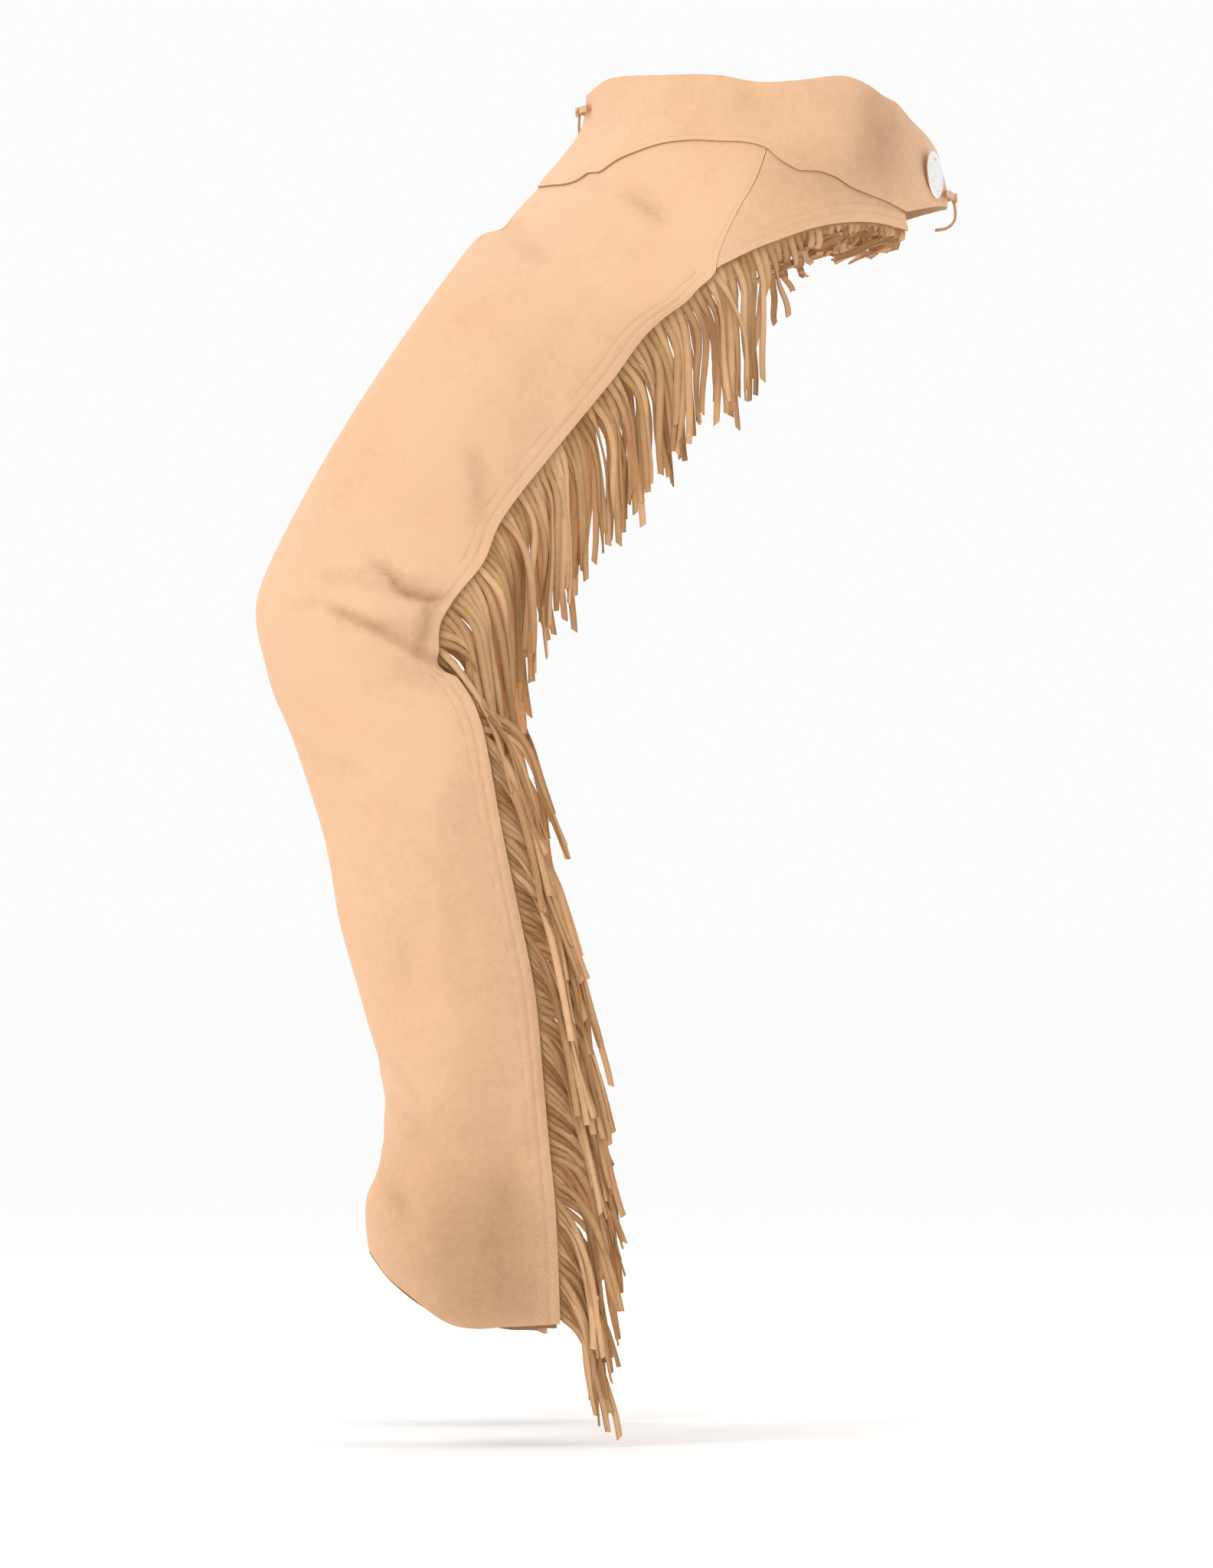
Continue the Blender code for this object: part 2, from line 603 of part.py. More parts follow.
def tie_object(name, tie, material, collection):
    """Flat thong across the gap between the two yokes, with two tails from its middle."""
    lift = TIE_LIFT + THONG_LEATHER
    patch = KNOT_WIDTH / 2
    rows = []
    for half in (THONG_WIDTH / 2, -THONG_WIDTH / 2):
        arms = [tie_spot(angle, tie["height"] + half, lift) for angle in tie["angles"]]
        centre_y = arms[-1].y + tie["outward"] * TIE_CROWN
        right = [Vector((-spot.x, spot.y, spot.z)) for spot in arms]
        middle = [Vector((across, centre_y, tie["height"] + half)) for across in (patch, 0, -patch)]
        line = arms + middle + right[::-1]
        rows.append(line[::-1] if tie["outward"] < 0 else line)
    sheet = bmesh.new()
    bmesh.ops.create_grid(sheet, x_segments=len(line) - 1, y_segments=1, size=1)
    verts = {}
    for vertex in sheet.verts:
        column = round((vertex.co.x + 1) / 2 * (len(line) - 1))
        row = 0 if vertex.co.y < 0 else 1
        vertex.co = rows[row][column]
        verts[(row, column)] = vertex
    start = len(arms)
    for index, side in ((start, 1), (start + 1, -1)):
        edge = sheet.edges.get((verts[(1, index)], verts[(1, index + 1)]))
        left, right_vert = verts[(1, index)], verts[(1, index + 1)]
        away = 1 if left.co.x > right_vert.co.x else -1
        for drop, spread, out in tie["tail"]:
            made = bmesh.ops.extrude_edge_only(sheet, edges=[edge])["geom"]
            fresh = [item for item in made if isinstance(item, bmesh.types.BMVert)]
            fresh.sort(key=lambda vert: -vert.co.x * away)
            edge = next(item for item in made if isinstance(item, bmesh.types.BMEdge)
                        and all(vert in fresh for vert in item.verts))
            middle_x = (patch / 2 + spread * MM) * side * away
            depth = centre_y + tie["outward"] * out * MM
            height = tie["height"] - THONG_WIDTH / 2 - drop * MM
            fresh[0].co = (middle_x + away * TAIL_WIDTH / 2, depth, height)
            fresh[1].co = (middle_x - away * TAIL_WIDTH / 2, depth, height)
    bmesh.ops.recalc_face_normals(sheet, faces=sheet.faces)
    sheet.faces.ensure_lookup_table()
    if sheet.faces[start].normal.y * tie["outward"] < 0:
        bmesh.ops.reverse_faces(sheet, faces=sheet.faces)
    return sheet_object(name, sheet, THONG_LEATHER, material, collection), centre_y


def knot_object(name, tie, centre_y, material, collection):
    """Soft flattened knot lying over the middle of a tie."""
    shape = bmesh.new()
    bmesh.ops.create_uvsphere(shape, u_segments=14, v_segments=8, radius=1)
    size = [length * share for length, share
            in zip((KNOT_WIDTH, KNOT_DEPTH, THONG_WIDTH), KNOT_HALF_SHARES)]
    bmesh.ops.scale(shape, vec=size, verts=shape.verts)
    depth = centre_y + tie["outward"] * (KNOT_DEPTH / 2 + SEAM_GAP)
    bmesh.ops.translate(shape, vec=(0, depth, tie["height"]), verts=shape.verts)
    mesh = bpy.data.meshes.new(name)
    shape.to_mesh(mesh)
    shape.free()
    mesh.shade_smooth()
    mesh.materials.append(material)
    item = bpy.data.objects.new(name, mesh)
    collection.objects.link(item)
    return item


def mirrored_object(item, name, collection):
    """The right side's copy of a left piece."""
    twin = item.copy()
    twin.data = item.data.copy()
    twin.name = name
    twin.data.name = name
    shape = bmesh.new()
    shape.from_mesh(twin.data)
    bmesh.ops.scale(shape, vec=(-1, 1, 1), verts=shape.verts)
    bmesh.ops.reverse_faces(shape, faces=shape.faces)
    shape.to_mesh(twin.data)
    shape.free()
    collection.objects.link(twin)
    return twin


def main():
    clear_scene()
    collection = bpy.data.collections.new("leather_chaps")
    bpy.context.scene.collection.children.link(collection)
    leather = make_material("suede", LEATHER_COLOUR, 0.9, 0.0)
    fringe_leather = make_material("fringe suede", FRINGE_COLOUR, 0.92, 0.0)
    metal = make_material("polished metal", METAL_COLOUR, 0.25, 1.0)

    leg = leg_panel_rows()
    hip = hip_panel_rows()
    hip_fringe, thigh_fringe, shin_fringe = [dict(zip(FRINGE_COLUMNS, row)) for row in FRINGES]
    corner = corner_row(leg_edge_places(leg_angle(0)))
    knee = row_places().index(RING_INDEX["knee fold"])
    edge = [row[0] for row in leg]
    inside = [row[1] for row in leg]
    pieces = [
        grid_object("yoke", yoke_rows(), YOKE_LEATHER, leather, collection),
        grid_object("leg_panel", leg, LEATHER, leather, collection),
        grid_object("hip_panel", hip, LEATHER, leather, collection),
        fringe_object("fringe_hip", hip_fringe,
                      strip_lines(hip[-1], hip[-3], (STRIP_END_TRIM, CORNER_TRIM)),
                      fringe_leather, collection),
        fringe_object("fringe_thigh", thigh_fringe,
                      strip_lines(edge[corner:knee + 1], inside[corner:knee + 1],
                                  (CORNER_TRIM, KNEE_TRIM)), fringe_leather, collection),
        fringe_object("fringe_shin", shin_fringe,
                      strip_lines(edge[knee:], inside[knee:], (KNEE_TRIM, STRIP_END_TRIM)),
                      fringe_leather, collection),
    ]
    for piece in pieces:
        base = piece.name
        mirrored_object(piece, base + "_right", collection)
        piece.name = base + "_left"
    concho_object("concho_left", 1, metal, collection)
    concho_object("concho_right", -1, metal, collection)
    for label, tie in TIES.items():
        lace, centre_y = tie_object(label + "_lace", tie, leather, collection)
        knot_object(label + "_knot", tie, centre_y, leather, collection)


main()
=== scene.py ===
import math
import random

import bmesh
import bpy
import numpy as np
from mathutils import Matrix, Vector


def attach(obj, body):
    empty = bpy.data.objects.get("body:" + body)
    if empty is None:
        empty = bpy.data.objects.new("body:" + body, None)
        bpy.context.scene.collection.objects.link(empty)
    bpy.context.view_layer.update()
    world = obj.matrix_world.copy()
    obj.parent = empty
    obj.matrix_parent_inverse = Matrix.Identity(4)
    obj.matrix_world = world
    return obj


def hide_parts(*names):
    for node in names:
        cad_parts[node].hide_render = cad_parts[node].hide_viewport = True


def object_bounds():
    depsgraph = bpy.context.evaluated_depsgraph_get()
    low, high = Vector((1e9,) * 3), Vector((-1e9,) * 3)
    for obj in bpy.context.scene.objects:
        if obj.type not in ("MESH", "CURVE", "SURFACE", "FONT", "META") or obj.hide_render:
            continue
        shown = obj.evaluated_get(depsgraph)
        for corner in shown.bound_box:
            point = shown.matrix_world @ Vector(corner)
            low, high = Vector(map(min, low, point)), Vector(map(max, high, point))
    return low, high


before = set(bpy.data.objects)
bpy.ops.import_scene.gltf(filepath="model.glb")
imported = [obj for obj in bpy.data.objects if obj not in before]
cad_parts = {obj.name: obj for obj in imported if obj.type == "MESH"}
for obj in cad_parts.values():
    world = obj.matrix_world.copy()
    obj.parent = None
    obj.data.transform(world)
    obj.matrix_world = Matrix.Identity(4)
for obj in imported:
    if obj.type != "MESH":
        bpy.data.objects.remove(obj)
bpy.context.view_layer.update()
mm = 0.001

# the view: the front is -Y, and the photo looks at the left leg along -X
viewing = {
    "middle": (0.2, -0.1157, -0.5017),
    "distance": 13.8,
    "frameHeight": 1.112,
    "farLimit": 60,
}
cameraData = bpy.data.cameras.new("camera")
cameraData.lens = cameraData.sensor_width * viewing["distance"] / viewing["frameHeight"]
camera = bpy.data.objects.new("camera", cameraData)
camera.location = Vector(viewing["middle"]) + Vector((viewing["distance"], 0, 0))
camera.rotation_euler = (math.pi / 2, 0, math.pi / 2)
cameraData.clip_end = viewing["farLimit"]
bpy.context.scene.collection.objects.link(camera)
bpy.context.scene.camera = camera
bpy.context.scene.view_settings.view_transform = "Standard"

# the studio
studio = {
    "lights": (
        ("key", (2.7, -1.9, 2.5), 1.1, 35),
        ("far side", (-2.8, -1.0, 2.2), 1.6, 20),
    ),
    "aim": (0.1, -0.15, -0.45),
    "sky": (1.0, 1.0, 1.0),
    "skyStrength": 0.975,
    "floorFinish": {"Base Color": (0.992, 0.992, 0.992, 1), "Roughness": 0.95, "Specular IOR Level": 0.0},
    "floorGap": 2.0,       # mm under the lowest strand
    "floorSize": 300.0,
}
for lightName, spot, size, power in studio["lights"]:
    lamp = bpy.data.lights.new(lightName, "AREA")
    lamp.size = size
    lamp.energy = power
    holder = bpy.data.objects.new(lightName, lamp)
    holder.location = spot
    holder.rotation_euler = (Vector(studio["aim"]) - Vector(spot)).to_track_quat("-Z", "Y").to_euler()
    bpy.context.scene.collection.objects.link(holder)
world = bpy.data.worlds.new("pale studio")
bpy.context.scene.world = world
world.use_nodes = True
background = world.node_tree.nodes["Background"]
background.inputs["Color"].default_value = (*studio["sky"], 1)
background.inputs["Strength"].default_value = studio["skyStrength"]
print("camera and lights made")

# the form under the leather, in millimetres: each ring is an ellipse through its front,
# side and back points in the side view. seam and flap say where the fringe line lies, and how
# flat the leather runs out to it.
ringColumns = ("frontY", "frontZ", "sideY", "sideZ", "backY", "backZ", "centreX", "halfWidth",
               "seam", "flap")
legRings = (
    ("waist",      -127,    0,   -1,    0,  111,    0,   0, 160, 0.00, 0.00),
    ("hip top",    -131,  -30,   -1,  -28,  116,  -30,   0, 168, 0.00, 0.00),
    ("yoke foot",  -147,  -54,   -3,  -53,  122,  -57,   0, 176, 0.00, 0.00),
    ("hip crease", -170,  -79,  -19,  -88,  128,  -88,  10, 176, 0.00, 0.00),
    ("corner",     -193, -103,  -61, -135,  129, -147,  40, 158, 0.12, 0.10),
    ("seat",       -210, -115, -108, -159,  -19, -175,  88, 122, 0.45, 0.40),
    ("crotch",     -226, -135, -168, -178,  -99, -227, 130,  98, 0.80, 0.85),
    ("thigh",      -263, -188, -209, -231, -151, -276, 170,  86, 0.90, 1.00),
    ("thigh low",  -299, -244, -242, -281, -186, -317, 203,  78, 0.94, 1.00),
    ("knee top",   -333, -304, -266, -325, -198, -346, 232,  73, 0.94, 1.00),
    ("knee",       -359, -359, -288, -365, -217, -370, 254,  70, 0.94, 1.00),
    ("knee fold",  -363, -387, -296, -389, -229, -392, 262,  68, 0.94, 1.00),
    ("shin top",   -356, -419, -291, -418, -227, -417, 264,  66, 0.94, 1.00),
    ("knee corner", -350, -440, -282, -436, -214, -429, 263,  66, 0.94, 1.00),
    ("calf",       -337, -471, -268, -466, -199, -461, 262,  66, 0.94, 1.00),
    ("calf mid",   -315, -540, -250, -538, -185, -536, 258,  64, 0.94, 1.00),
    ("calf low",   -304, -600, -238, -599, -172, -598, 254,  62, 0.94, 1.00),
    ("shin",       -289, -654, -226, -652, -162, -650, 250,  60, 0.94, 1.00),
    ("ankle",      -275, -709, -216, -708, -157, -707, 246,  58, 0.94, 1.00),
    ("instep",     -275, -760, -213, -760, -152, -760, 244,  60, 0.94, 1.00),
    ("flare",      -286, -809, -217, -809, -147, -808, 243,  64, 0.94, 1.00),
    ("hem",        -272, -891, -208, -891, -144, -891, 242,  66, 0.94, 1.00),
)
ringNames = [row[0] for row in legRings]
ringTable = {column: np.array([row[index + 1] for row in legRings], float)
             for index, column in enumerate(ringColumns)}

# heights of the cut edges in mm, by the angle round the leg: 0 outward, 90 front, -90 back
cutEdges = {
    "yokeTop": {
        "points": ((-86, -52), (-71, -38), (-60, -27), (-53, -16), (-47, -11), (-41, -5), (-34, 0),
                   (-28, 2), (-10, -2), (3, -3), (16, 2), (35, 3), (62, 2), (76, -5), (88, -8)),
        "corners": (),
    },
    "yokeLow": {
        "points": ((-86, -88), (-77, -88), (-64, -90), (-52, -94), (-44, -87), (-38, -83), (-30, -77),
                   (-24, -70), (-18, -66), (-12, -66), (-5, -58), (0, -50), (6, -46), (14, -45),
                   (23, -44), (32, -46), (40, -52), (46, -59), (48.5, -66), (54, -66), (57, -71),
                   (71, -74), (88, -73)),
        "corners": (-52, -18, -12, 48.5, 54),
    },
    "hipLow": {
        "points": ((-52, -107), (-40, -102), (-29, -103), (-22, -107), (-16, -114), (-10, -124),
                   (-6, -137)),
        "corners": (),
    },
    "innerEdge": {
        "points": ((86, -64), (92, -95), (100, -108), (118, -122), (135, -140), (155, -165),
                   (175, -183)),
        "corners": (),
    },
    "hem": {
        "points": ((-75, -882), (-20, -884), (0, -885), (15, -882), (28, -873), (38, -864),
                   (57, -850), (80, -833), (100, -836), (125, -856), (150, -875), (180, -886),
                   (230, -889), (305, -885)),
        "corners": (),
    },
}
legForm = {
    "straighten": 0.05,         # draws the fringe line straight between the side seam and the seat
    "flapFall": 0.32,           # narrows the flap from the side to the back
    "roundStep": 1,             # degrees and rings over which a direction is read
    "downStep": 0.05,
    "places": (-0.5, len(legRings) - 0.4),      # rings between which a cut edge is looked for
    "halvings": 40,
}
hipEnd, yokeEnd = 52, 86        # degrees from the side seam to the end of the hip panel and the yoke


def smoothRun(places, heights, corners, where):
    # cubic through the points, with a kink only at the corners
    places, heights = np.array(places, float), np.array(heights, float)
    rises = np.diff(heights) / np.diff(places)
    first = np.concatenate(([rises[0]], rises))
    second = np.concatenate((rises, [rises[-1]]))
    isCorner = np.isin(places, corners)
    meanRise = (first + second) / 2
    leaving = np.where(isCorner, second, meanRise)
    arriving = np.where(isCorner, first, meanRise)
    where = np.clip(where, places[0], places[-1])
    index = np.clip(np.searchsorted(places, where, side="right") - 1, 0, len(places) - 2)
    width = places[index + 1] - places[index]
    t = (where - places[index]) / width
    return ((2 * t**3 - 3 * t**2 + 1) * heights[index] + (t**3 - 2 * t**2 + t) * width * leaving[index]
            + (3 * t**2 - 2 * t**3) * heights[index + 1] + (t**3 - t**2) * width * arriving[index + 1])


def edgeHeight(edgeName, angle):
    edge = cutEdges[edgeName]
    places, heights = zip(*edge["points"])
    return smoothRun(places, heights, edge["corners"], np.asarray(angle, float)) * mm


def between(before, here, there, after, part):
    # smooth value at a part of the way from here to there
    return 0.5 * (2 * here + (there - before) * part
                  + (2 * before - 5 * here + 4 * there - after) * part ** 2
                  + (3 * here - before - 3 * there + after) * part ** 3)


def ringValue(column, place):
    values = ringTable[column]
    padded = np.concatenate(([2 * values[0] - values[1]], values, [2 * values[-1] - values[-2]]))
    start = np.clip(np.floor(place), 0, len(values) - 2).astype(int)
    return between(*(padded[start + step] for step in range(4)), place - start)


def seamShare(place):
    # the fringe line runs straight from the foot of the side seam to the seat
    bend = np.clip(place - ringNames.index("corner"), 0, 1)
    return ringValue("seam", place) - legForm["straighten"] * np.sin(math.pi * bend) ** 2


def seamAngle(place):
    return -np.degrees(np.arcsin(np.clip(seamShare(place), 0, 1)))


def ringPoint(angle, place):
    angle, place = np.broadcast_arrays(np.asarray(angle, float), np.asarray(place, float))
    sine, across = np.sin(np.radians(angle)), np.cos(np.radians(angle))
    atFront = sine >= 0
    sideY, sideZ = ringValue("sideY", place), ringValue("sideZ", place)
    endY = np.where(atFront, ringValue("frontY", place), ringValue("backY", place))
    endZ = np.where(atFront, ringValue("frontZ", place), ringValue("backZ", place))
    flap = np.where(angle < 0, np.maximum(0, ringValue("flap", place)), 0)
    across = across + flap * (1 - legForm["flapFall"] * sine ** 2 - across)
    x = ringValue("centreX", place) + ringValue("halfWidth", place) * across
    y = sideY + (endY - sideY) * np.abs(sine)
    z = sideZ + (endZ - sideZ) * np.abs(sine)
    return np.stack((x, y, z), -1) * mm


def unit(vectors):
    return vectors / np.maximum(np.linalg.norm(vectors, axis=-1, keepdims=True), 1e-12)


def outwardAt(angle, place):
    angle, place = np.asarray(angle, float), np.asarray(place, float)
    aside, down = legForm["roundStep"], legForm["downStep"]
    roundWay = ringPoint(angle + aside, place) - ringPoint(angle - aside, place)
    downWay = ringPoint(angle, place + down) - ringPoint(angle, place - down)
    return unit(np.cross(roundWay, downWay))


# creases, given in the side view (y, z in mm): radius of the soft section, depth
# (negative for a trough), and the route
mainCreases = {
    "outer": (
        # knee pit: the dark tuck behind the knee, the roll under it and the long fold below
        (3.4, -5.6, ((-225, -370), (-239, -370), (-252, -368), (-260, -363), (-267, -353), (-276, -347))),
        (9, 2.2, ((-232, -360), (-246, -358), (-256, -350))),
        (9, -3.0, ((-238, -374), (-250, -370), (-264, -365), (-284, -358), (-304, -355), (-321, -351))),
        (5.5, -5.0, ((-236, -375), (-240, -385), (-244, -399), (-245, -410))),
        (8.5, 5.0, ((-247, -391), (-267, -382), (-289, -374))),
        (4.6, -6.2, ((-222, -419), (-250, -408), (-271, -396), (-290, -386), (-308, -378))),
        (8, -1.8, ((-300, -380), (-321, -376), (-344, -372))),
        (8, 2.6, ((-238, -419), (-268, -405), (-293, -393))),
        (10, -2.2, ((-226, -432), (-246, -424), (-268, -413))),
        # thigh by the fringe, groin and hip
        (7, -2.6, ((-213, -262), (-206, -291), (-203, -316))),
        (6.5, -2.6, ((-138, -75), (-113, -75), (-98, -81), (-88, -90), (-77, -101))),
        (4.0, -2.0, ((-104, -82), (-93, -87), (-82, -96), (-73, -104))),
        (9, -3.6, ((-190, -100), (-178, -114), (-162, -126))),
        (13, 2.6, ((-206, -104), (-192, -124))),
        # shin and ankle
        (10, -2.6, ((-272, -716), (-246, -757))),
        (10, -2.6, ((-277, -774), (-258, -808))),
        (22, -2.2, ((-204, -640), (-210, -730))),
        # yoke
        (15, -3.4, ((70, -4), (80, -30), (86, -48))),
    ),
    "inner": (
        (8, -4.0, ((-226, -380), (-262, -372), (-304, -360))),
        (8, -4.0, ((-228, -412), (-262, -400), (-318, -384))),
        (8, 3.0, ((-230, -396), (-262, -386), (-306, -372))),
        (16, -3.0, ((-190, -245), (-225, -300))),
        (11, -3.0, ((-268, -730), (-236, -772))),
    ),
    "back": (),
}
fineCreases = {
    "outer": (
        (3.0, -1.4, ((-272, -352), (-281, -345), (-287, -337))),
        (3.5, -1.3, ((-243, -393), (-252, -386), (-262, -380), (-274, -377))),
        (3.0, 1.1, ((-238, -379), (-248, -375), (-259, -371))),
        (4.5, -1.2, ((-230, -424), (-248, -417), (-266, -408))),
        (4.0, -1.2, ((-236, -436), (-258, -430), (-276, -430))),
        (6.5, -1.3, ((-306, -366), (-326, -374), (-346, -384))),
        (7.0, -1.1, ((-248, -446), (-272, -436), (-293, -433))),
        (8.0, 1.2, ((-292, -344), (-318, -347), (-341, -356))),
        (6.0, -1.2, ((-222, -352), (-238, -345), (-250, -333))),
        # groin and hip: drag lines from the waist towards the seat
        (3.5, 1.2, ((-108, -68), (-94, -73), (-83, -83), (-72, -95))),
        (6.0, 1.0, ((-120, -70), (-98, -76), (-78, -86))),
        (7.0, -0.8, ((-150, -92), (-118, -108), (-92, -131))),
        (9.0, -0.9, ((-170, -118), (-140, -136), (-118, -160))),
        (5.0, -1.6, ((-204, -98), (-196, -102), (-186, -100), (-176, -104))),
        # thigh: long faint pulls
        (12, -1.1, ((-128, -150), (-163, -205), (-190, -248))),
        (10, 0.9, ((-222, -252), (-217, -296), (-222, -330))),
        (9, -0.9, ((-262, -226), (-281, -262), (-300, -300))),
        (8, -0.8, ((-156, -226), (-174, -262), (-184, -297))),
        (7, -0.9, ((-226, -300), (-246, -316), (-268, -324))),
        # shin and ankle
        (9, -1.0, ((-330, -470), (-312, -486), (-280, -492))),
        (14, -1.3, ((-214, -500), (-222, -560), (-214, -628))),
        (9, 1.1, ((-262, -596), (-252, -660), (-246, -720))),
        (5, -1.7, ((-276, -694), (-266, -704), (-254, -716), (-246, -730))),
        (6, 1.2, ((-276, -706), (-260, -722), (-246, -738))),
        (5, -1.5, ((-278, -744), (-266, -762), (-252, -776))),
        (5, -1.6, ((-277, -786), (-266, -794), (-254, -806))),
        (8, 1.4, ((-283, -786), (-270, -818), (-256, -838))),
        (9, -1.2, ((-176, -770), (-190, -806), (-196, -850))),
        (7, -0.9, ((-226, -848), (-218, -868), (-204, -876))),
        (6, -0.8, ((-262, -560), (-250, -584), (-232, -590))),
        (7, 0.8, ((-168, -690), (-176, -740), (-172, -780))),
        # yoke
        (12, -1.4, ((52, -50), (72, -60), (88, -72))),
        (12, 1.1, ((38, -8), (50, -34))),
        (14, -0.8, ((-60, -8), (-66, -36))),
        (10, -0.7, ((-18, -6), (-10, -34))),
    ),
    "inner": (
        (6.0, -2.0, ((-232, -398), (-262, -388), (-298, -374))),
        (5.5, 1.5, ((-230, -404), (-262, -394), (-300, -378))),
        (7.0, -1.6, ((-234, -428), (-262, -420), (-290, -412))),
        (6.0, -1.5, ((-250, -352), (-276, -344), (-304, -340))),
        (9, -1.4, ((-180, -190), (-206, -224), (-240, -262))),
        (8, 1.2, ((-168, -206), (-196, -246), (-220, -280))),
        (7, -1.4, ((-180, -172), (-196, -196), (-222, -216))),
        (9, -1.1, ((-262, -520), (-240, -536), (-214, -540))),
        (7, -1.5, ((-270, -700), (-252, -718), (-232, -728))),
        (7, -1.5, ((-272, -758), (-250, -782), (-228, -796))),
        (8, 1.2, ((-272, -742), (-252, -762), (-232, -776))),
        (12, -1.2, ((-214, -600), (-218, -660), (-212, -700))),
    ),
    "back": (
        (8, -2.2, ((-262, -362), (-226, -372), (-214, -374))),
        (9, -2.4, ((-262, -396), (-232, -402), (-218, -404))),
        (8, 1.6, ((-262, -380), (-232, -386), (-214, -388))),
        (12, -1.4, ((-170, -262), (-200, -300), (-222, -330))),
        (10, -1.3, ((-236, -470), (-206, -486), (-190, -500))),
        (10, -1.4, ((-214, -640), (-190, -660), (-172, -668))),
        (9, -1.5, ((-206, -752), (-180, -770), (-160, -774))),
    ),
}
creaseTaper = 9.0               # mm over which a crease fades at its ends
outerFade = {"from": -0.45, "over": 0.6}    # where round the leg the outer creases give way


def creaseDepth(points, reach):
    spots = points[..., 1:] / mm
    depth = np.zeros(points.shape[:-1])
    for table in (mainCreases, fineCreases):
        for radius, height, route in table[reach]:
            route = np.array(route, float)
            steps = np.linalg.norm(np.diff(route, axis=0), axis=1)
            best = np.full(depth.shape, 1e9)
            bestAlong = np.zeros(depth.shape)
            walked = 0.0
            for start, end, length in zip(route, route[1:], steps):
                along = np.clip((spots - start) @ (end - start) / length, 0, length)
                foot = start + along[..., None] * (end - start) / length
                away = np.linalg.norm(spots - foot, axis=-1)
                nearer = away < best
                best = np.where(nearer, away, best)
                bestAlong = np.where(nearer, walked + along, bestAlong)
                walked += length
            ends = np.minimum(1, (bestAlong + creaseTaper) / (2 * creaseTaper))
            ends = ends * np.minimum(1, (walked - bestAlong + creaseTaper) / (2 * creaseTaper))
            depth += ends * height * np.exp(-(best / radius) ** 2)
    return depth * mm


def smoothStep(value):
    value = np.clip(value, 0, 1)
    return value * value * (3 - 2 * value)


def foldDepth(points, angle):
    outerShare = smoothStep((np.cos(np.radians(angle)) - outerFade["from"]) / outerFade["over"])
    return outerShare * creaseDepth(points, "outer") + (1 - outerShare) * creaseDepth(points, "inner")


stitchRows = (7.0, 14.0)        # mm inside the fringed edges
groove = {"depth": 0.45, "radius": 1.1, "puff": 0.25, "puffReach": 2.4}
puckering = {"height": 0.28, "middle": 12, "reach": 7, "slope": 0.6, "waves": (2.35, 17.0, 3.9),
             "starts": (1.0, 2.0), "second": 0.6}


def edgeGroove(inside):
    # two pulled-in stitch rows, with the leather a little proud between them, by mm inside the edge
    depth = np.zeros(np.shape(inside))
    for row in stitchRows:
        depth -= groove["depth"] * np.exp(-((inside - row) / groove["radius"]) ** 2)
    for crown in (stitchRows[0] / 2, sum(stitchRows) / 2):
        depth += groove["puff"] * np.exp(-((inside - crown) / groove["puffReach"]) ** 2)
    return depth * mm


def pucker(points, inside):
    # small uneven puckers across the sewn edge
    run = (points[..., 2] - points[..., 1] * puckering["slope"]) / mm
    short, long, middling = puckering["waves"]
    firstStart, secondStart = puckering["starts"]
    wave = (np.sin(run / short) * np.sin(run / long + firstStart)
            + puckering["second"] * np.sin(run / middling + secondStart))
    nearRows = np.exp(-((inside - puckering["middle"]) / puckering["reach"]) ** 2)
    return puckering["height"] * wave * nearRows * mm


def sideToBack(place):
    return np.hypot(ringValue("backY", place) - ringValue("sideY", place),
                    ringValue("backZ", place) - ringValue("sideZ", place))


def insideEdge(angle, place):
    # mm inside the fringe line
    return (seamShare(place) + np.sin(np.radians(angle))) * sideToBack(place)


def insetAngle(place, width):
    # line that lies inside the fringe line by a width in metres
    return -np.degrees(np.arcsin(np.clip(seamShare(place) - width / (sideToBack(place) * mm), -1, 1)))


def skinPoint(angle, place, lift=0.0):
    plain = ringPoint(angle, place)
    depth = foldDepth(plain, np.asarray(angle, float)) + lift
    return plain + outwardAt(angle, place) * depth[..., None]


def placeOf(above, count):
    # place down the leg at which a falling measure reaches nought, for each of count columns
    high, low = (np.full(count, place) for place in legForm["places"])
    for _ in range(legForm["halvings"]):
        middle = (high + low) / 2
        isAbove = above(middle) > 0
        high = np.where(isAbove, middle, high)
        low = np.where(isAbove, low, middle)
    return (high + low) / 2


def placeAtHeight(pointAt, height):
    # the place at which one point that moves down the leg reaches a height
    return placeOf(lambda place: pointAt(place)[..., 2] - height, 1)[0]


def edgePlaces(angleAt, columns, heightAt):
    # the places at which the columns of a panel meet its cut edge
    return placeOf(lambda place: ringPoint(angleAt(columns, place), place)[..., 2]
                   - heightAt(angleAt(columns, place)), len(columns))


def legAngle(column, place):
    return seamAngle(place) * (1 - column / 180) + column


def hipAngle(column, place):
    share = np.clip(column / hipEnd, 0, 1)
    return seamAngle(place) * (1 - share) - column


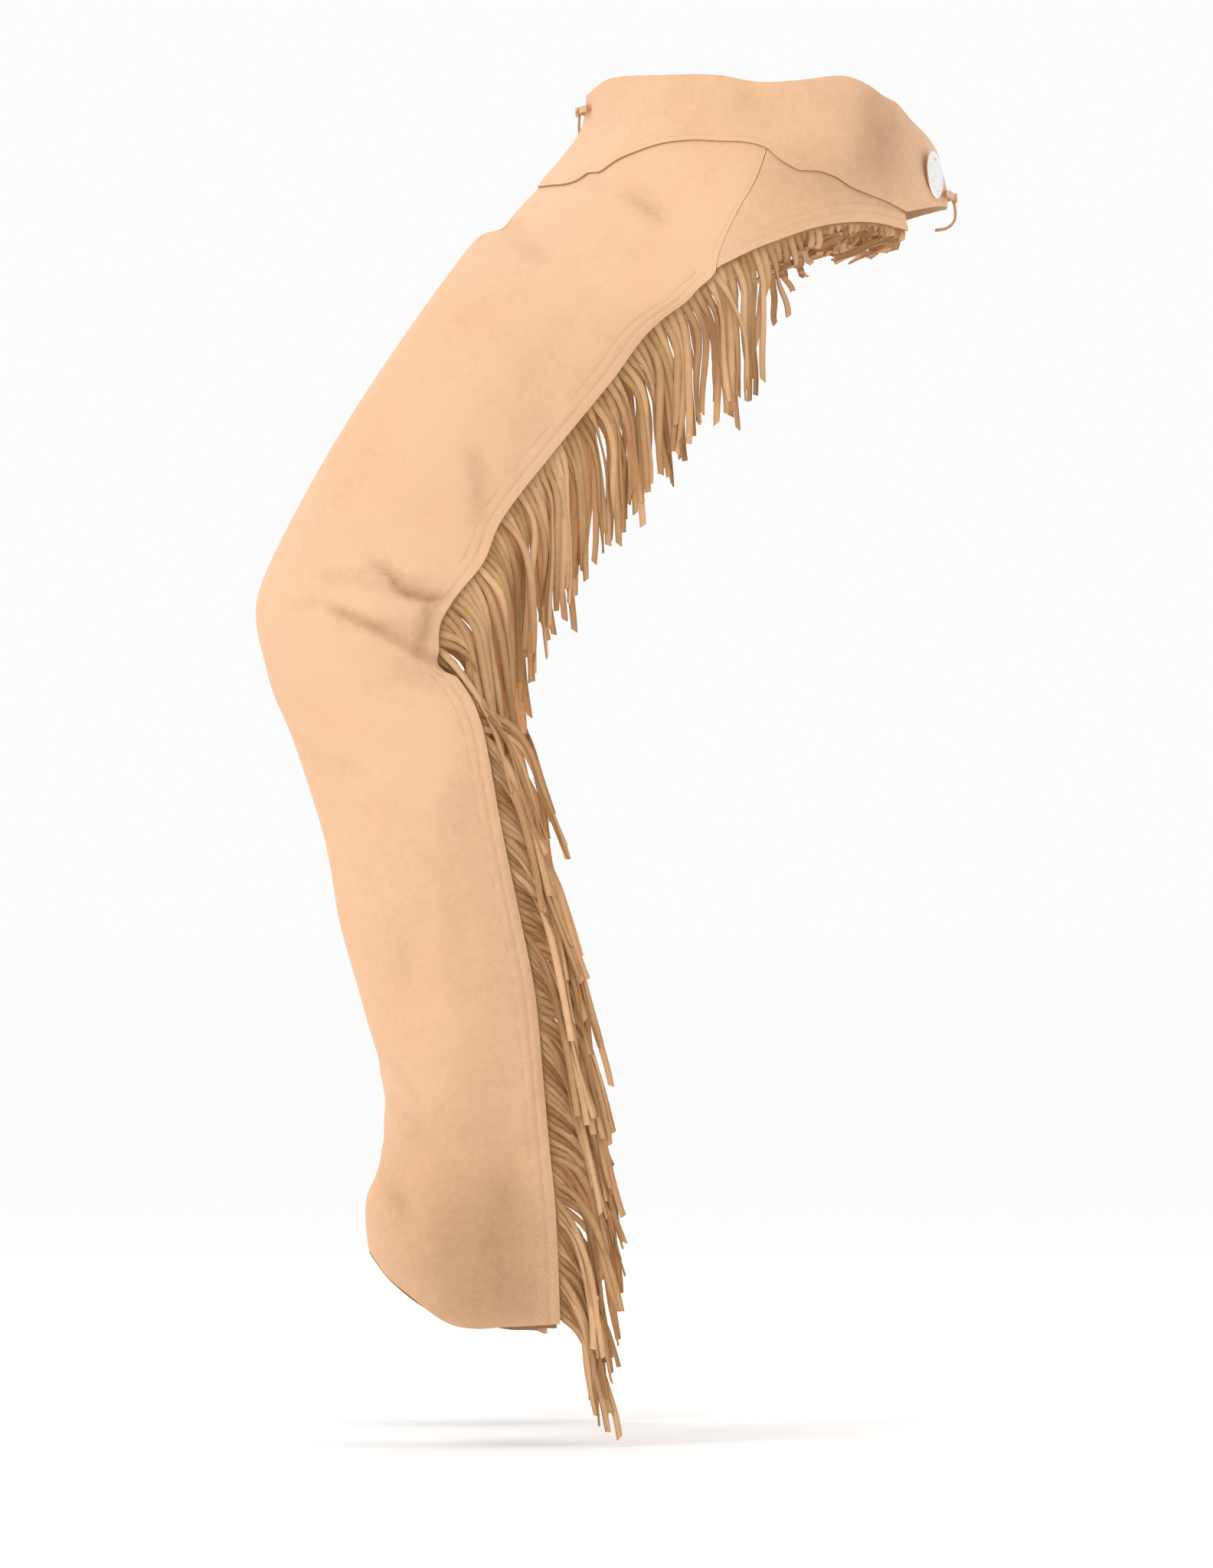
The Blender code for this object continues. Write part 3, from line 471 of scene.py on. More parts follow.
# suede, cut edges and metal
suedeLook = {
    "light": (0.83, 0.522, 0.312),
    "dark": (0.37, 0.226, 0.118),
    "blush": (1.0, 0.90, 0.84),
    "drift": (7.0, 3, 0.0, 0.8, 0.5),   # scale, detail, low, high, distortion
    "mottle": ((9.0, 0.12, 0.3), (38.0, 0.10, 0.8), (210.0, 0.12, 0.4)),   # scale, amount, distortion
    "nap": ((1500.0, 0.4, 0.25 * mm), (230.0, 0.3, 0.5 * mm)),             # scale, strength, distance
    "finish": {"Roughness": 0.92, "Specular IOR Level": 0.22, "Sheen Weight": 0.18,
               "Sheen Roughness": 0.55, "Sheen Tint": (1.0, 0.9, 0.8, 1)},
}
fringeLook = {**suedeLook, "light": (0.84, 0.525, 0.292), "dark": (0.32, 0.168, 0.056),
              "finish": {**suedeLook["finish"], "Sheen Weight": 0.06}}
threadLook = {"light": (0.82, 0.57, 0.37), "grain": 2500, "relief": 0.1 * mm,
              "finish": {"Roughness": 0.6, "Metallic": 0.0}}
silverLook = {"light": (0.93, 0.93, 0.92), "grain": 700, "relief": 0.02 * mm,
              "finish": {"Roughness": 0.16, "Metallic": 1.0}}
noiseSpan = (0.3, 0.7)          # the part of a noise's range that shows
plainDark, plainRelief = 0.86, 0.4      # how dark and how rough a plain finish gets in its grain


def socketLink(tree, fromNode, fromName, toNode, toName):
    tree.links.new(fromNode.outputs[fromName], toNode.inputs[toName])


def newMaterial(name, finish):
    material = bpy.data.materials.new(name)
    material.use_nodes = True
    shader = material.node_tree.nodes["Principled BSDF"]
    for socket, value in finish.items():
        shader.inputs[socket].default_value = value
    return material, material.node_tree, shader


def noiseNode(tree, where, scale, detail, distortion=0.0):
    # noise in the object's own space
    noise = tree.nodes.new("ShaderNodeTexNoise")
    for socket, value in (("Scale", scale), ("Detail", detail), ("Distortion", distortion)):
        noise.inputs[socket].default_value = value
    socketLink(tree, where, "Object", noise, "Vector")
    return noise


def noiseShare(tree, where, scale, detail, low, high, distortion):
    # noise brought to a range
    share = tree.nodes.new("ShaderNodeMapRange")
    for socket, value in zip(("From Min", "From Max", "To Min", "To Max"), (*noiseSpan, low, high)):
        share.inputs[socket].default_value = value
    socketLink(tree, noiseNode(tree, where, scale, detail, distortion), "Fac", share, "Value")
    return share.outputs["Result"]


def reliefOf(tree, noise, strength, distance, under=None):
    bump = tree.nodes.new("ShaderNodeBump")
    bump.inputs["Strength"].default_value = strength
    bump.inputs["Distance"].default_value = distance
    socketLink(tree, noise, "Fac", bump, "Height")
    if under is not None:
        tree.links.new(under, bump.inputs["Normal"])
    return bump.outputs["Normal"]


def colourRamp(tree, share, first, second, positions=(0.0, 1.0)):
    ramp = tree.nodes.new("ShaderNodeValToRGB")
    for element, colour, position in zip(ramp.color_ramp.elements, (first, second), positions):
        element.color = (*colour, 1)
        element.position = position
    tree.links.new(share, ramp.inputs["Fac"])
    return ramp.outputs["Color"]


def summed(tree, first, second, clamp):
    adder = tree.nodes.new("ShaderNodeMath")
    adder.operation = "ADD"
    adder.use_clamp = clamp
    tree.links.new(first, adder.inputs[0])
    tree.links.new(second, adder.inputs[1])
    return adder.outputs[0]


def suedeMaterial(name, look, toneShift=0.0, grain=1.0):
    material, tree, shader = newMaterial(name, look["finish"])
    where = tree.nodes.new("ShaderNodeTexCoord")
    tone = tree.nodes.new("ShaderNodeAttribute")
    tone.attribute_name = "tone"
    total = tone.outputs["Fac"]
    for index, (scale, amount, distortion) in enumerate(look["mottle"]):
        middle = toneShift if index == 0 else 0.0
        share = noiseShare(tree, where, scale, 4, middle - amount / 2, middle + amount / 2, distortion)
        total = summed(tree, total, share, index == len(look["mottle"]) - 1)
    blush = tree.nodes.new("ShaderNodeMixRGB")
    blush.blend_type = "MULTIPLY"
    blush.inputs[2].default_value = (*look["blush"], 1)
    tree.links.new(noiseShare(tree, where, *look["drift"]), blush.inputs[0])
    tree.links.new(colourRamp(tree, total, look["light"], look["dark"]), blush.inputs[1])
    socketLink(tree, blush, "Color", shader, "Base Color")
    normal = None
    for scale, strength, distance in look["nap"]:
        normal = reliefOf(tree, noiseNode(tree, where, scale, 4), strength * grain, distance, normal)
    tree.links.new(normal, shader.inputs["Normal"])
    return material


def plainMaterial(name, look):
    material, tree, shader = newMaterial(name, look["finish"])
    noise = noiseNode(tree, tree.nodes.new("ShaderNodeTexCoord"), look["grain"], 3)
    dark = [channel * plainDark for channel in look["light"]]
    colour = colourRamp(tree, noise.outputs["Fac"], dark, look["light"], noiseSpan)
    tree.links.new(colour, shader.inputs["Base Color"])
    tree.links.new(reliefOf(tree, noise, plainRelief, look["relief"]), shader.inputs["Normal"])
    return material


suede = suedeMaterial("brushedSuede", suedeLook)
# the flesh side inside the panels: rougher, and darkened as painted shade for the inside of the leg
shadedFleshSide = suedeMaterial("fleshSideSuedeWithShade", suedeLook, toneShift=0.72, grain=1.6)
cutEdge = suedeMaterial("cutSuedeEdge", fringeLook, toneShift=0.66, grain=1.4)
# painted shade: the strands are darkened overall for the shade among them
fringeSuede = suedeMaterial("fringeSuede", fringeLook, toneShift=0.36)
thongSuede = suedeMaterial("thongSuede", suedeLook, toneShift=0.30)
threadMaterial = plainMaterial("waxedThread", threadLook)
silverMetal = plainMaterial("polishedSilver", silverLook)
print("materials made")

chapsPieces = bpy.data.collections.new("chaps")
bpy.context.scene.collection.children.link(chapsPieces)


def gridInto(shell, points, tones=None):
    # a grid of faces through the points, with a tone at each
    if tones is not None:
        layers = shell.verts.layers.float
        toneLayer = layers.get("tone") or layers.new("tone")
    rows, columns = points.shape[:2]
    made = bmesh.ops.create_grid(shell, x_segments=columns - 1, y_segments=rows - 1, size=1)["verts"]
    for vertex in made:
        column = round((vertex.co.x + 1) / 2 * (columns - 1))
        row = round((vertex.co.y + 1) / 2 * (rows - 1))
        vertex.co = points[row, column]
        if tones is not None:
            vertex[toneLayer] = tones[row, column]


def meshPiece(name, shell, *materials):
    mesh = bpy.data.meshes.new(name)
    shell.to_mesh(mesh)
    shell.free()
    for material in materials:
        mesh.materials.append(material)
    piece = bpy.data.objects.new(name, mesh)
    chapsPieces.objects.link(piece)
    return piece


def evaluatedMesh(holder):
    bpy.context.view_layer.update()
    return bpy.data.meshes.new_from_object(holder.evaluated_get(bpy.context.evaluated_depsgraph_get()))


def finishWall(piece, wall, sharpAngle):
    # thickness grows inward, with its own finish inside and along the cut edges
    solid = piece.modifiers.new("leather", "SOLIDIFY")
    solid.thickness = wall
    solid.offset = -1
    solid.material_offset = len(piece.data.materials) - 2
    solid.material_offset_rim = len(piece.data.materials) - 1
    made = evaluatedMesh(piece)
    piece.modifiers.clear()
    old = piece.data
    piece.data = made
    made.name = piece.name
    bpy.data.meshes.remove(old)
    made.shade_smooth()
    made.set_sharp_from_angle(angle=math.radians(sharpAngle))


def turnedOver(piece):
    # the same piece for the other side of the body
    shape = bmesh.new()
    shape.from_mesh(piece.data)
    bmesh.ops.scale(shape, vec=(-1, 1, 1), verts=shape.verts)
    bmesh.ops.reverse_faces(shape, faces=shape.faces)
    shape.to_mesh(piece.data)
    shape.free()
    return piece


def mirroredPiece(piece, name):
    twin = piece.copy()
    twin.data = piece.data.copy()
    twin.name = twin.data.name = name
    chapsPieces.objects.link(twin)
    return turnedOver(twin)


def gridArea(points):
    # both halves of every cell
    across, down = np.diff(points, axis=1), np.diff(points, axis=0)
    halves = (np.cross(across[:-1], down[:, :-1]), np.cross(across[1:], down[:, 1:]))
    return sum(np.linalg.norm(half, axis=-1).sum() for half in halves) / 2


def panelPair(name, points, depths, cut):
    # the left panel with its wall, and the right one as its mirror
    shell = bmesh.new()
    gridInto(shell, points, toneAndShadeAt(points, depths) + cut["tone"])
    left = meshPiece(f"{name}Left", shell, suede, shadedFleshSide, cutEdge)
    finishWall(left, cut["wall"], cut["sharpAngle"])
    print(name, round(gridArea(points), 4), "square metres each")
    return left, mirroredPiece(left, f"{name}Right")


# soft patches of tone, most of them painted shade in the knee folds, dents and hollows, with a darker
# lower shin towards the hem, by place in the side view (mm): y, z, reach along y and z, amount
shadeAndToneSpots = (
    (82, -44, 22, 32, 0.50),
    (-10, -28, 60, 30, 0.05),
    (58, -78, 50, 22, 0.20),
    (20, -60, 60, 16, 0.06),
    (-240, -388, 10, 20, 0.26),
    (-250, -399, 18, 6, 0.16),
    (-272, -390, 18, 6, 0.12),
    (-204, -874, 60, 26, 0.26),
    (-168, -850, 22, 60, 0.16),
    (-254, -362, 15, 8, 0.24),
    (-276, -391, 26, 6, 0.14),
    (-248, -420, 24, 9, 0.14),
    (-262, -790, 7, 12, 0.06),
    (-207, -830, 62, 60, 0.60),
    (-214, -740, 42, 50, 0.18),
    (-262, -625, 12, 30, 0.10),
    (-190, -700, 18, 120, 0.18),
    (-200, -550, 24, 60, 0.10),
    (-206, -288, 7, 24, 0.26),
    (-172, -620, 14, 90, 0.10),
    (-214, -470, 12, 90, 0.10),
    (-240, -560, 30, 60, 0.06),
)
# painted shade in the creases: darker by this much per mm of trough depth, up to the deepest
troughShade = {"perMm": 0.05, "deepest": 6}


# the tone at each point: the listed spots with their painted shade, and painted shade in the troughs
def toneAndShadeAt(points, depth):
    y, z = points[..., 1] / mm, points[..., 2] / mm
    tone = np.zeros(points.shape[:-1])
    for spotY, spotZ, reachY, reachZ, amount in shadeAndToneSpots:
        tone += amount * np.exp(-((y - spotY) / reachY) ** 2 - ((z - spotZ) / reachZ) ** 2)
    return tone + np.clip(-depth / mm, 0, troughShade["deepest"]) * troughShade["perMm"]


# leg panels
legPanel = {
    "tone": 0.0,
    "sharpAngle": 38,
    "wall": 2.0 * mm,
    "roundColumns": 96,
    "fineTo": 11.0,
    "fineStep": 0.6,
    "wrapSteps": 4,
    "rowStep": 0.08,
    "yokeLap": 11.0 * mm,
    "tuckDepth": 6.8 * mm,
    "lapWidth": 13.0 * mm,
    "backTop": -226 * mm,
    "sewnTo": 90,
    "leadAngle": 165,
    "hemAngles": (230, 300),    # where the back's low edge is read: on the wrap, and under the line
    "wrapFade": (6, 8),         # columns over which the back's creases fade at the wrap's two ends
    # across in half widths and back in shares of the seam's depth, from the inside to the line
    "backWrap": ((-0.93, 0.40), (-0.70, 0.66), (-0.28, 0.81), (0.24, 0.84), (0.60, 0.83)),
    "flat": (0.60, 1.02),
    "cutArea": 0.372,
}
yokeFoot, cornerPlace, hemRing = (ringNames.index(name) for name in ("yoke foot", "corner", "hem"))


def spreadPlace(place, top, low):
    # rows keep to the rings between the thigh and the instep, and stretch to the cut edges beyond
    first, last = yokeFoot, hemRing
    settle, loosen = ringNames.index("thigh low"), ringNames.index("instep")
    upper = top + (place - first) * (settle - top) / (settle - first)
    lower = loosen + (place - loosen) * (low - loosen) / (last - loosen)
    return np.where(place < settle, upper, np.where(place > loosen, lower, place))


def legTopHeight(angle):
    angle = np.asarray(angle, float)
    return np.where(angle <= yokeEnd,
                    edgeHeight("yokeLow", np.minimum(angle, yokeEnd)) + legPanel["yokeLap"],
                    edgeHeight("innerEdge", np.maximum(angle, yokeEnd)))


def wrapPoint(across, back, place):
    back = back * seamShare(place)
    y = ringValue("sideY", place) * (1 - back) + ringValue("backY", place) * back
    z = ringValue("sideZ", place) * (1 - back) + ringValue("backZ", place) * back
    x = ringValue("centreX", place) + ringValue("halfWidth", place) * across
    return np.stack((x, y, z), -1) * mm


def curveThrough(points, steps):
    # points: list of equal arrays; smooth columns from the second one to the last
    made = []
    points = list(points) + [2 * points[-1] - points[-2]]
    for index in range(1, len(points) - 2):
        made += [between(*points[index - 1:index + 3], step / steps) for step in range(steps)]
    return made + [points[-2]]


def downBack(pointAt, rowPlaces, hemAngle):
    # the places of one column of the back, from its top to the hem
    return spreadPlace(rowPlaces, placeAtHeight(pointAt, legPanel["backTop"]),
                       placeAtHeight(pointAt, edgeHeight("hem", hemAngle)))


def wrapGrid(rowPlaces, innerLine):
    # round the back from the inner line to the lap under the fringe line
    lead = [skinPoint(legAngle(legPanel["leadAngle"], rowPlaces), rowPlaces), innerLine]
    wrapHem, tuckHem = legPanel["hemAngles"]
    for across, back in legPanel["backWrap"]:
        places = downBack(lambda place: wrapPoint(across, back, place), rowPlaces, wrapHem)
        lead.append(wrapPoint(across, back, places))
    for width in (legPanel["lapWidth"], 0.0):
        places = downBack(lambda place: ringPoint(insetAngle(place, width), place), rowPlaces, tuckHem)
        lead.append(skinPoint(insetAngle(places, width), places, -legPanel["tuckDepth"]))
    return np.stack(curveThrough(lead, legPanel["wrapSteps"])[1:], 1)


def legGrid():
    rowPlaces = np.arange(yokeFoot, hemRing + legPanel["rowStep"] / 2, legPanel["rowStep"])
    rowPlaces[-1] = hemRing
    fine = np.arange(0, legPanel["fineTo"], legPanel["fineStep"])
    columns = np.concatenate((fine, np.linspace(legPanel["fineTo"], 180, legPanel["roundColumns"])))
    top = edgePlaces(legAngle, columns, legTopHeight)
    low = edgePlaces(legAngle, columns, lambda angle: edgeHeight("hem", angle))
    places = spreadPlace(rowPlaces[:, None], top[None, :], low[None, :])
    angles = legAngle(columns[None, :], places)
    plain = ringPoint(angles, places)
    inside = insideEdge(angles, places)
    isSewn = (places > cornerPlace) & (columns[None, :] < legPanel["sewnTo"])
    front = skinPoint(angles, places, np.where(isSewn, edgeGroove(inside) + pucker(plain, inside), 0))
    wrap = wrapGrid(rowPlaces, front[:, -1])
    points = np.concatenate((front, wrap), 1)
    # the back's own creases, over the wrapped part only
    normals = unit(np.cross(np.gradient(points, axis=1), np.gradient(points, axis=0)))
    rising, falling = legPanel["wrapFade"]
    number = np.arange(wrap.shape[1])
    depths = np.zeros(points.shape[:2])
    depths[:, len(columns):] = (creaseDepth(wrap, "back") * np.minimum(1, number / rising)
                                * np.minimum(1, number[::-1] / falling))
    points = points + normals * depths[..., None]
    depths[:, :len(columns)] += foldDepth(plain, angles)
    return points, depths


legPair = panelPair("legPanel", *legGrid(), legPanel)

# rear hip panels
hipPanel = {
    "tone": 0.10,
    "sharpAngle": 38,
    "columns": 48,
    "rows": 56,
    "wall": 2.0 * mm,
    "seamGap": 0.6 * mm,
    "flat": (0.155, 0.105),
    "cutArea": 0.0067,
}


def panelGrid(angleAt, columns, top, low, rows):
    # even rows from the top edge to the low one, and how many mm each point lies above the low one
    share = np.linspace(0, 1, rows + 1)
    places = top[None, :] + (low - top)[None, :] * share[:, None]
    angles = angleAt(columns[None, :], places)
    plain = ringPoint(angles, places)
    above = np.linalg.norm(plain - plain[-1:], axis=-1) / mm
    return angles, places, above, foldDepth(plain, angles)


def hipGrid():
    columns = np.linspace(0, hipEnd, hipPanel["columns"] + 1)
    top = edgePlaces(hipAngle, columns, lambda angle: edgeHeight("yokeLow", angle) + legPanel["yokeLap"])
    low = edgePlaces(hipAngle, columns, lambda angle: edgeHeight("hipLow", angle))
    low[0] = cornerPlace        # the side seam ends at the corner of the fringe line
    angles, places, above, depth = panelGrid(hipAngle, columns, top, low, hipPanel["rows"])
    points = skinPoint(angles, places, edgeGroove(above))
    # a fine line stays open where the two panels meet
    points[:, 0] += unit(points[:, 1] - points[:, 0]) * hipPanel["seamGap"]
    return points[:, ::-1], depth[:, ::-1]


hipPair = panelPair("hipPanel", *hipGrid(), hipPanel)

# yoke
yoke = {
    "tone": 0.04,
    "sharpAngle": 38,
    "columns": 150,
    "rows": 34,
    "wall": 1.5 * mm,
    "lift": 2.9 * mm,
    "edgeLift": 1.75 * mm,
    "edgeReach": 14.0,
    "flat": (0.36, 0.105),
    "cutArea": 0.0301,
}


def bandAngle(column, place):
    return np.where(column < 0, hipAngle(-np.minimum(column, 0), place),
                    legAngle(np.maximum(column, 0), place))


def yokeLift(above):
    # the yoke lies close to the panels along its lower edge, by mm above that edge
    away = smoothStep(np.asarray(above) / yoke["edgeReach"])
    return yoke["edgeLift"] + (yoke["lift"] - yoke["edgeLift"]) * away


def yokeGrid():
    columns = np.linspace(-yokeEnd, yokeEnd, yoke["columns"] + 1)
    top = edgePlaces(bandAngle, columns, lambda angle: edgeHeight("yokeTop", angle))
    low = edgePlaces(bandAngle, columns, lambda angle: edgeHeight("yokeLow", angle))
    angles, places, above, depth = panelGrid(bandAngle, columns, top, low, yoke["rows"])
    return skinPoint(angles, places, yokeLift(above)), depth


yokePair = panelPair("yoke", *yokeGrid(), yoke)

# topstitching: two rows inside the fringed edges, one along the yoke and the side seam
stitching = {
    "spacing": 3.6 * mm,
    "half": (1.45 * mm, 0.42 * mm, 0.30 * mm),
    "stand": 0.05 * mm,
    "rowStand": -0.15 * mm,
    "yokeInset": 3.6 * mm,
    "seamColumn": 1.3,
    # each run's start, end and samples, in rings down the leg
    "legRun": (cornerPlace + 0.05, hemRing - 0.12, 700),
    "seamRun": (yokeFoot - 0.1, cornerPlace - 0.15, 60),
    # and in degrees round the hip and the yoke
    "hipRun": (2, hipEnd - 1, 160),
    "yokeRun": (1 - yokeEnd, yokeEnd - 1, 500),
}


def lengthsAlong(line):
    return np.concatenate(([0], np.cumsum(np.linalg.norm(np.diff(line, axis=0), axis=1))))


def pointsAlong(line, walked, at):
    return np.stack([np.interp(at, walked, line[:, axis]) for axis in range(3)], -1)


def stitchRun(shape, angles, places, stand):
    line, normals = skinPoint(angles, places, stand), outwardAt(angles, places)
    walked = lengthsAlong(line)
    for number in range(int(walked[-1] / stitching["spacing"])):
        at = (number + 0.5) * stitching["spacing"]
        spot = pointsAlong(line, walked, at)
        along = Vector(pointsAlong(line, walked, at + 1 * mm) - spot).normalized()
        side = Vector(pointsAlong(normals, walked, at)).normalized().cross(along).normalized()
        turn = Matrix((along, side, along.cross(side))).transposed().to_4x4()
        bmesh.ops.create_uvsphere(shape, u_segments=6, v_segments=4, radius=1,
                                  matrix=Matrix.Translation(spot) @ turn
                                  @ Matrix.Diagonal((*stitching["half"], 1)))


def stitchPair(name, shape):
    left = meshPiece(f"{name}Left", shape, threadMaterial)
    left.data.shade_smooth()
    return left, mirroredPiece(left, f"{name}Right")


legStitches = bmesh.new()
seamPlaces = np.linspace(*stitching["legRun"])
for row in stitchRows:
    stitchRun(legStitches, insetAngle(seamPlaces, row * mm), seamPlaces, stitching["rowStand"])
upperPlaces = np.linspace(*stitching["seamRun"])
stitchRun(legStitches, legAngle(stitching["seamColumn"], upperPlaces), upperPlaces, stitching["stand"])
hipColumns = np.linspace(*stitching["hipRun"])
for row in stitchRows:
    hipPlaces = edgePlaces(hipAngle, hipColumns, lambda angle: edgeHeight("hipLow", angle) + row * mm)
    stitchRun(legStitches, hipAngle(hipColumns, hipPlaces), hipPlaces, stitching["rowStand"])
legThread = stitchPair("topstitch", legStitches)
yokeStitches = bmesh.new()
yokeColumns = np.linspace(*stitching["yokeRun"])
yokePlaces = edgePlaces(bandAngle, yokeColumns,
                        lambda angle: edgeHeight("yokeLow", angle) + stitching["yokeInset"])
stitchRun(yokeStitches, bandAngle(yokeColumns, yokePlaces), yokePlaces,
          float(yokeLift(stitching["yokeInset"] / mm)) + stitching["stand"])
yokeThread = stitchPair("yokeStitch", yokeStitches)
print("topstitching made")

# fringe: a strip under the edge, cut into hanging strands
fringe = {
    "wall": 1.2 * mm,
    "stripDepth": 2.8 * mm,
    "stripWidth": 12.0 * mm,
    "overhang": 1.5 * mm,
    "cutGap": 0.3 * mm,
    "uneven": 0.13,
    "segments": 18,
    "sharpAngle": 50,
    "samples": (240, 500),              # along the hip's edge and along the leg's line
    "crown": 0.35 * mm,
    "endSkew": 1.6 * mm,
    "weld": 0.02 * mm,
    "endHeight": -879.0 * mm,
    # painted shade: the strip under the panel's edge is darkened
    "stripShade": 0.3,
    "tone": 0.06,
    # painted light: clumps that stand out are painted lighter, the ones further in darker
    "standOutLight": 0.12,                   # how much lighter a clump that stands out is
    "shade": 0.27,
    "borderShade": 0.28,
    "rootShade": (0.30, 9.0 * mm),      # at the cut, and how far it reaches
    # from and to in rings or degrees, beside the corners of the line
    "hipRun": (hipEnd, 0.4),
    "thighRun": (cornerPlace + 0.03, ringNames.index("knee fold") + 0.5),
    "shinStart": ringNames.index("knee fold") + 0.53,
    "seeds": (52, 70),                  # left and right
}
# pitch, turn and depth in mm; back and lean at the top and at the foot of a run, which change
# from a share of it on; length at the top and at the foot, and how late it changes between
# them; gather draws the strands of a clump together
fringeRuns = {
    "hip": {"pitch": 5.6, "turn": 30, "back": (0.0, 0.04), "lean": (0.0, 0.0), "change": 0.0,
            "depth": (0.0, 3.0), "clump": (2, 4), "sway": 5.0, "gather": 0.30, "length": (104, 98),
            "ease": 1.0, "drop": 0.1, "louvre": 0.2},
    "thigh": {"pitch": 6.1, "turn": 50, "back": (0.03, 0.16), "lean": (0.0, -0.12), "change": 0.62,
              "depth": (0.0, 6.0), "clump": (2, 5), "sway": 6.5, "gather": 0.27, "length": (88, 128),
              "ease": 1.5, "drop": 0.2, "louvre": 0.4},
    "shin": {"pitch": 5.9, "turn": 70, "back": (0.30, 0.16), "lean": (0.03, 0.03), "change": 0.0,
             "depth": (0.5, 9.0), "clump": (2, 5), "sway": 8.0, "gather": 0.32, "length": (124, 96),
             "ease": 3.0, "drop": 0.38, "louvre": 0.7},
}
seatedFringe = {"from": -32 * mm, "to": 14 * mm, "lean": 0.96, "rise": 0.90, "face": 0.35,
                "turn": (30.0, 12.0), "turnTo": 48 * mm, "fan": (-0.55, 0.10)}
# how one strand differs from the next, and how its clump does: layer and ripple in mm, and
# twists, louvre and curl in radians
strand = {
    "layer": 2.4,
    "turn": (0.75, 1.3),
    "sway": 0.35,
    "ripple": (0.4, 1.9),
    "rippleTurns": (6.5, 7.0),
    "rippleOut": 0.6,
    "swayPower": 1.5,
    "twist": 0.6,
    "louvre": (0.4, 1.4),
    "curl": 1.3,
    "narrowing": (0.07, 0.14),          # near the root and towards the tip
    "settling": (3.2, 5, 8),            # how soon it joins its clump, stands out and turns edgeways
    "clumpTwist": 0.5,
    "clumpDrop": (-0.7, 1.0),
    "dropReach": 0.22,
}


def stripLines(edge, inside):
    ahead = np.gradient(edge, axis=0)
    normals = unit(np.cross(inside - edge, ahead))
    width = np.linalg.norm(inside - edge, axis=1, keepdims=True)
    down = -normals * fringe["stripDepth"]
    inner = edge + (inside - edge) * np.minimum(1, fringe["stripWidth"] / width) + down
    outer = edge - (inside - edge) * fringe["overhang"] / width + down
    return inner, outer, normals


def resampled(lines, pitch):
    # the lines at equal steps along the outer one, with a cut between each two strands
    walked = lengthsAlong(lines[1])
    count = max(2, round(walked[-1] / (pitch * mm)))
    gap = fringe["cutGap"] / walked[-1] * 0.5
    stops = []
    for number in range(count):
        stops += [number / count + gap, (number + 0.5) / count, (number + 1) / count - gap]
    at = np.array(stops) * walked[-1]
    return [pointsAlong(line, walked, at) for line in lines], count


def mixed(ends, share):
    return ends[0] + (ends[1] - ends[0]) * share


def eased(value):
    return float(smoothStep(value))


def hangingWay(run, root, foot, dice):
    lean, back, seated = mixed(run["lean"], foot), mixed(run["back"], foot), 0.0
    if run is fringeRuns["hip"]:
        seated = eased((root.y - seatedFringe["from"]) / (seatedFringe["to"] - seatedFringe["from"]))
        back += seated * seated * dice.uniform(*seatedFringe["fan"])
    way = Vector((lean - seatedFringe["lean"] * seated, back, seatedFringe["rise"] * seated - 1))
    return way.normalized(), seated


def turningLength(run, root, seated):
    # mm over which a strand turns from the edge to its hang
    level = eased((root.y - seatedFringe["to"]) / (seatedFringe["turnTo"] - seatedFringe["to"]))
    first, last = seatedFringe["turn"]
    return run["turn"] * (1 - seated) + (first * (1 - level) + last * level) * seated


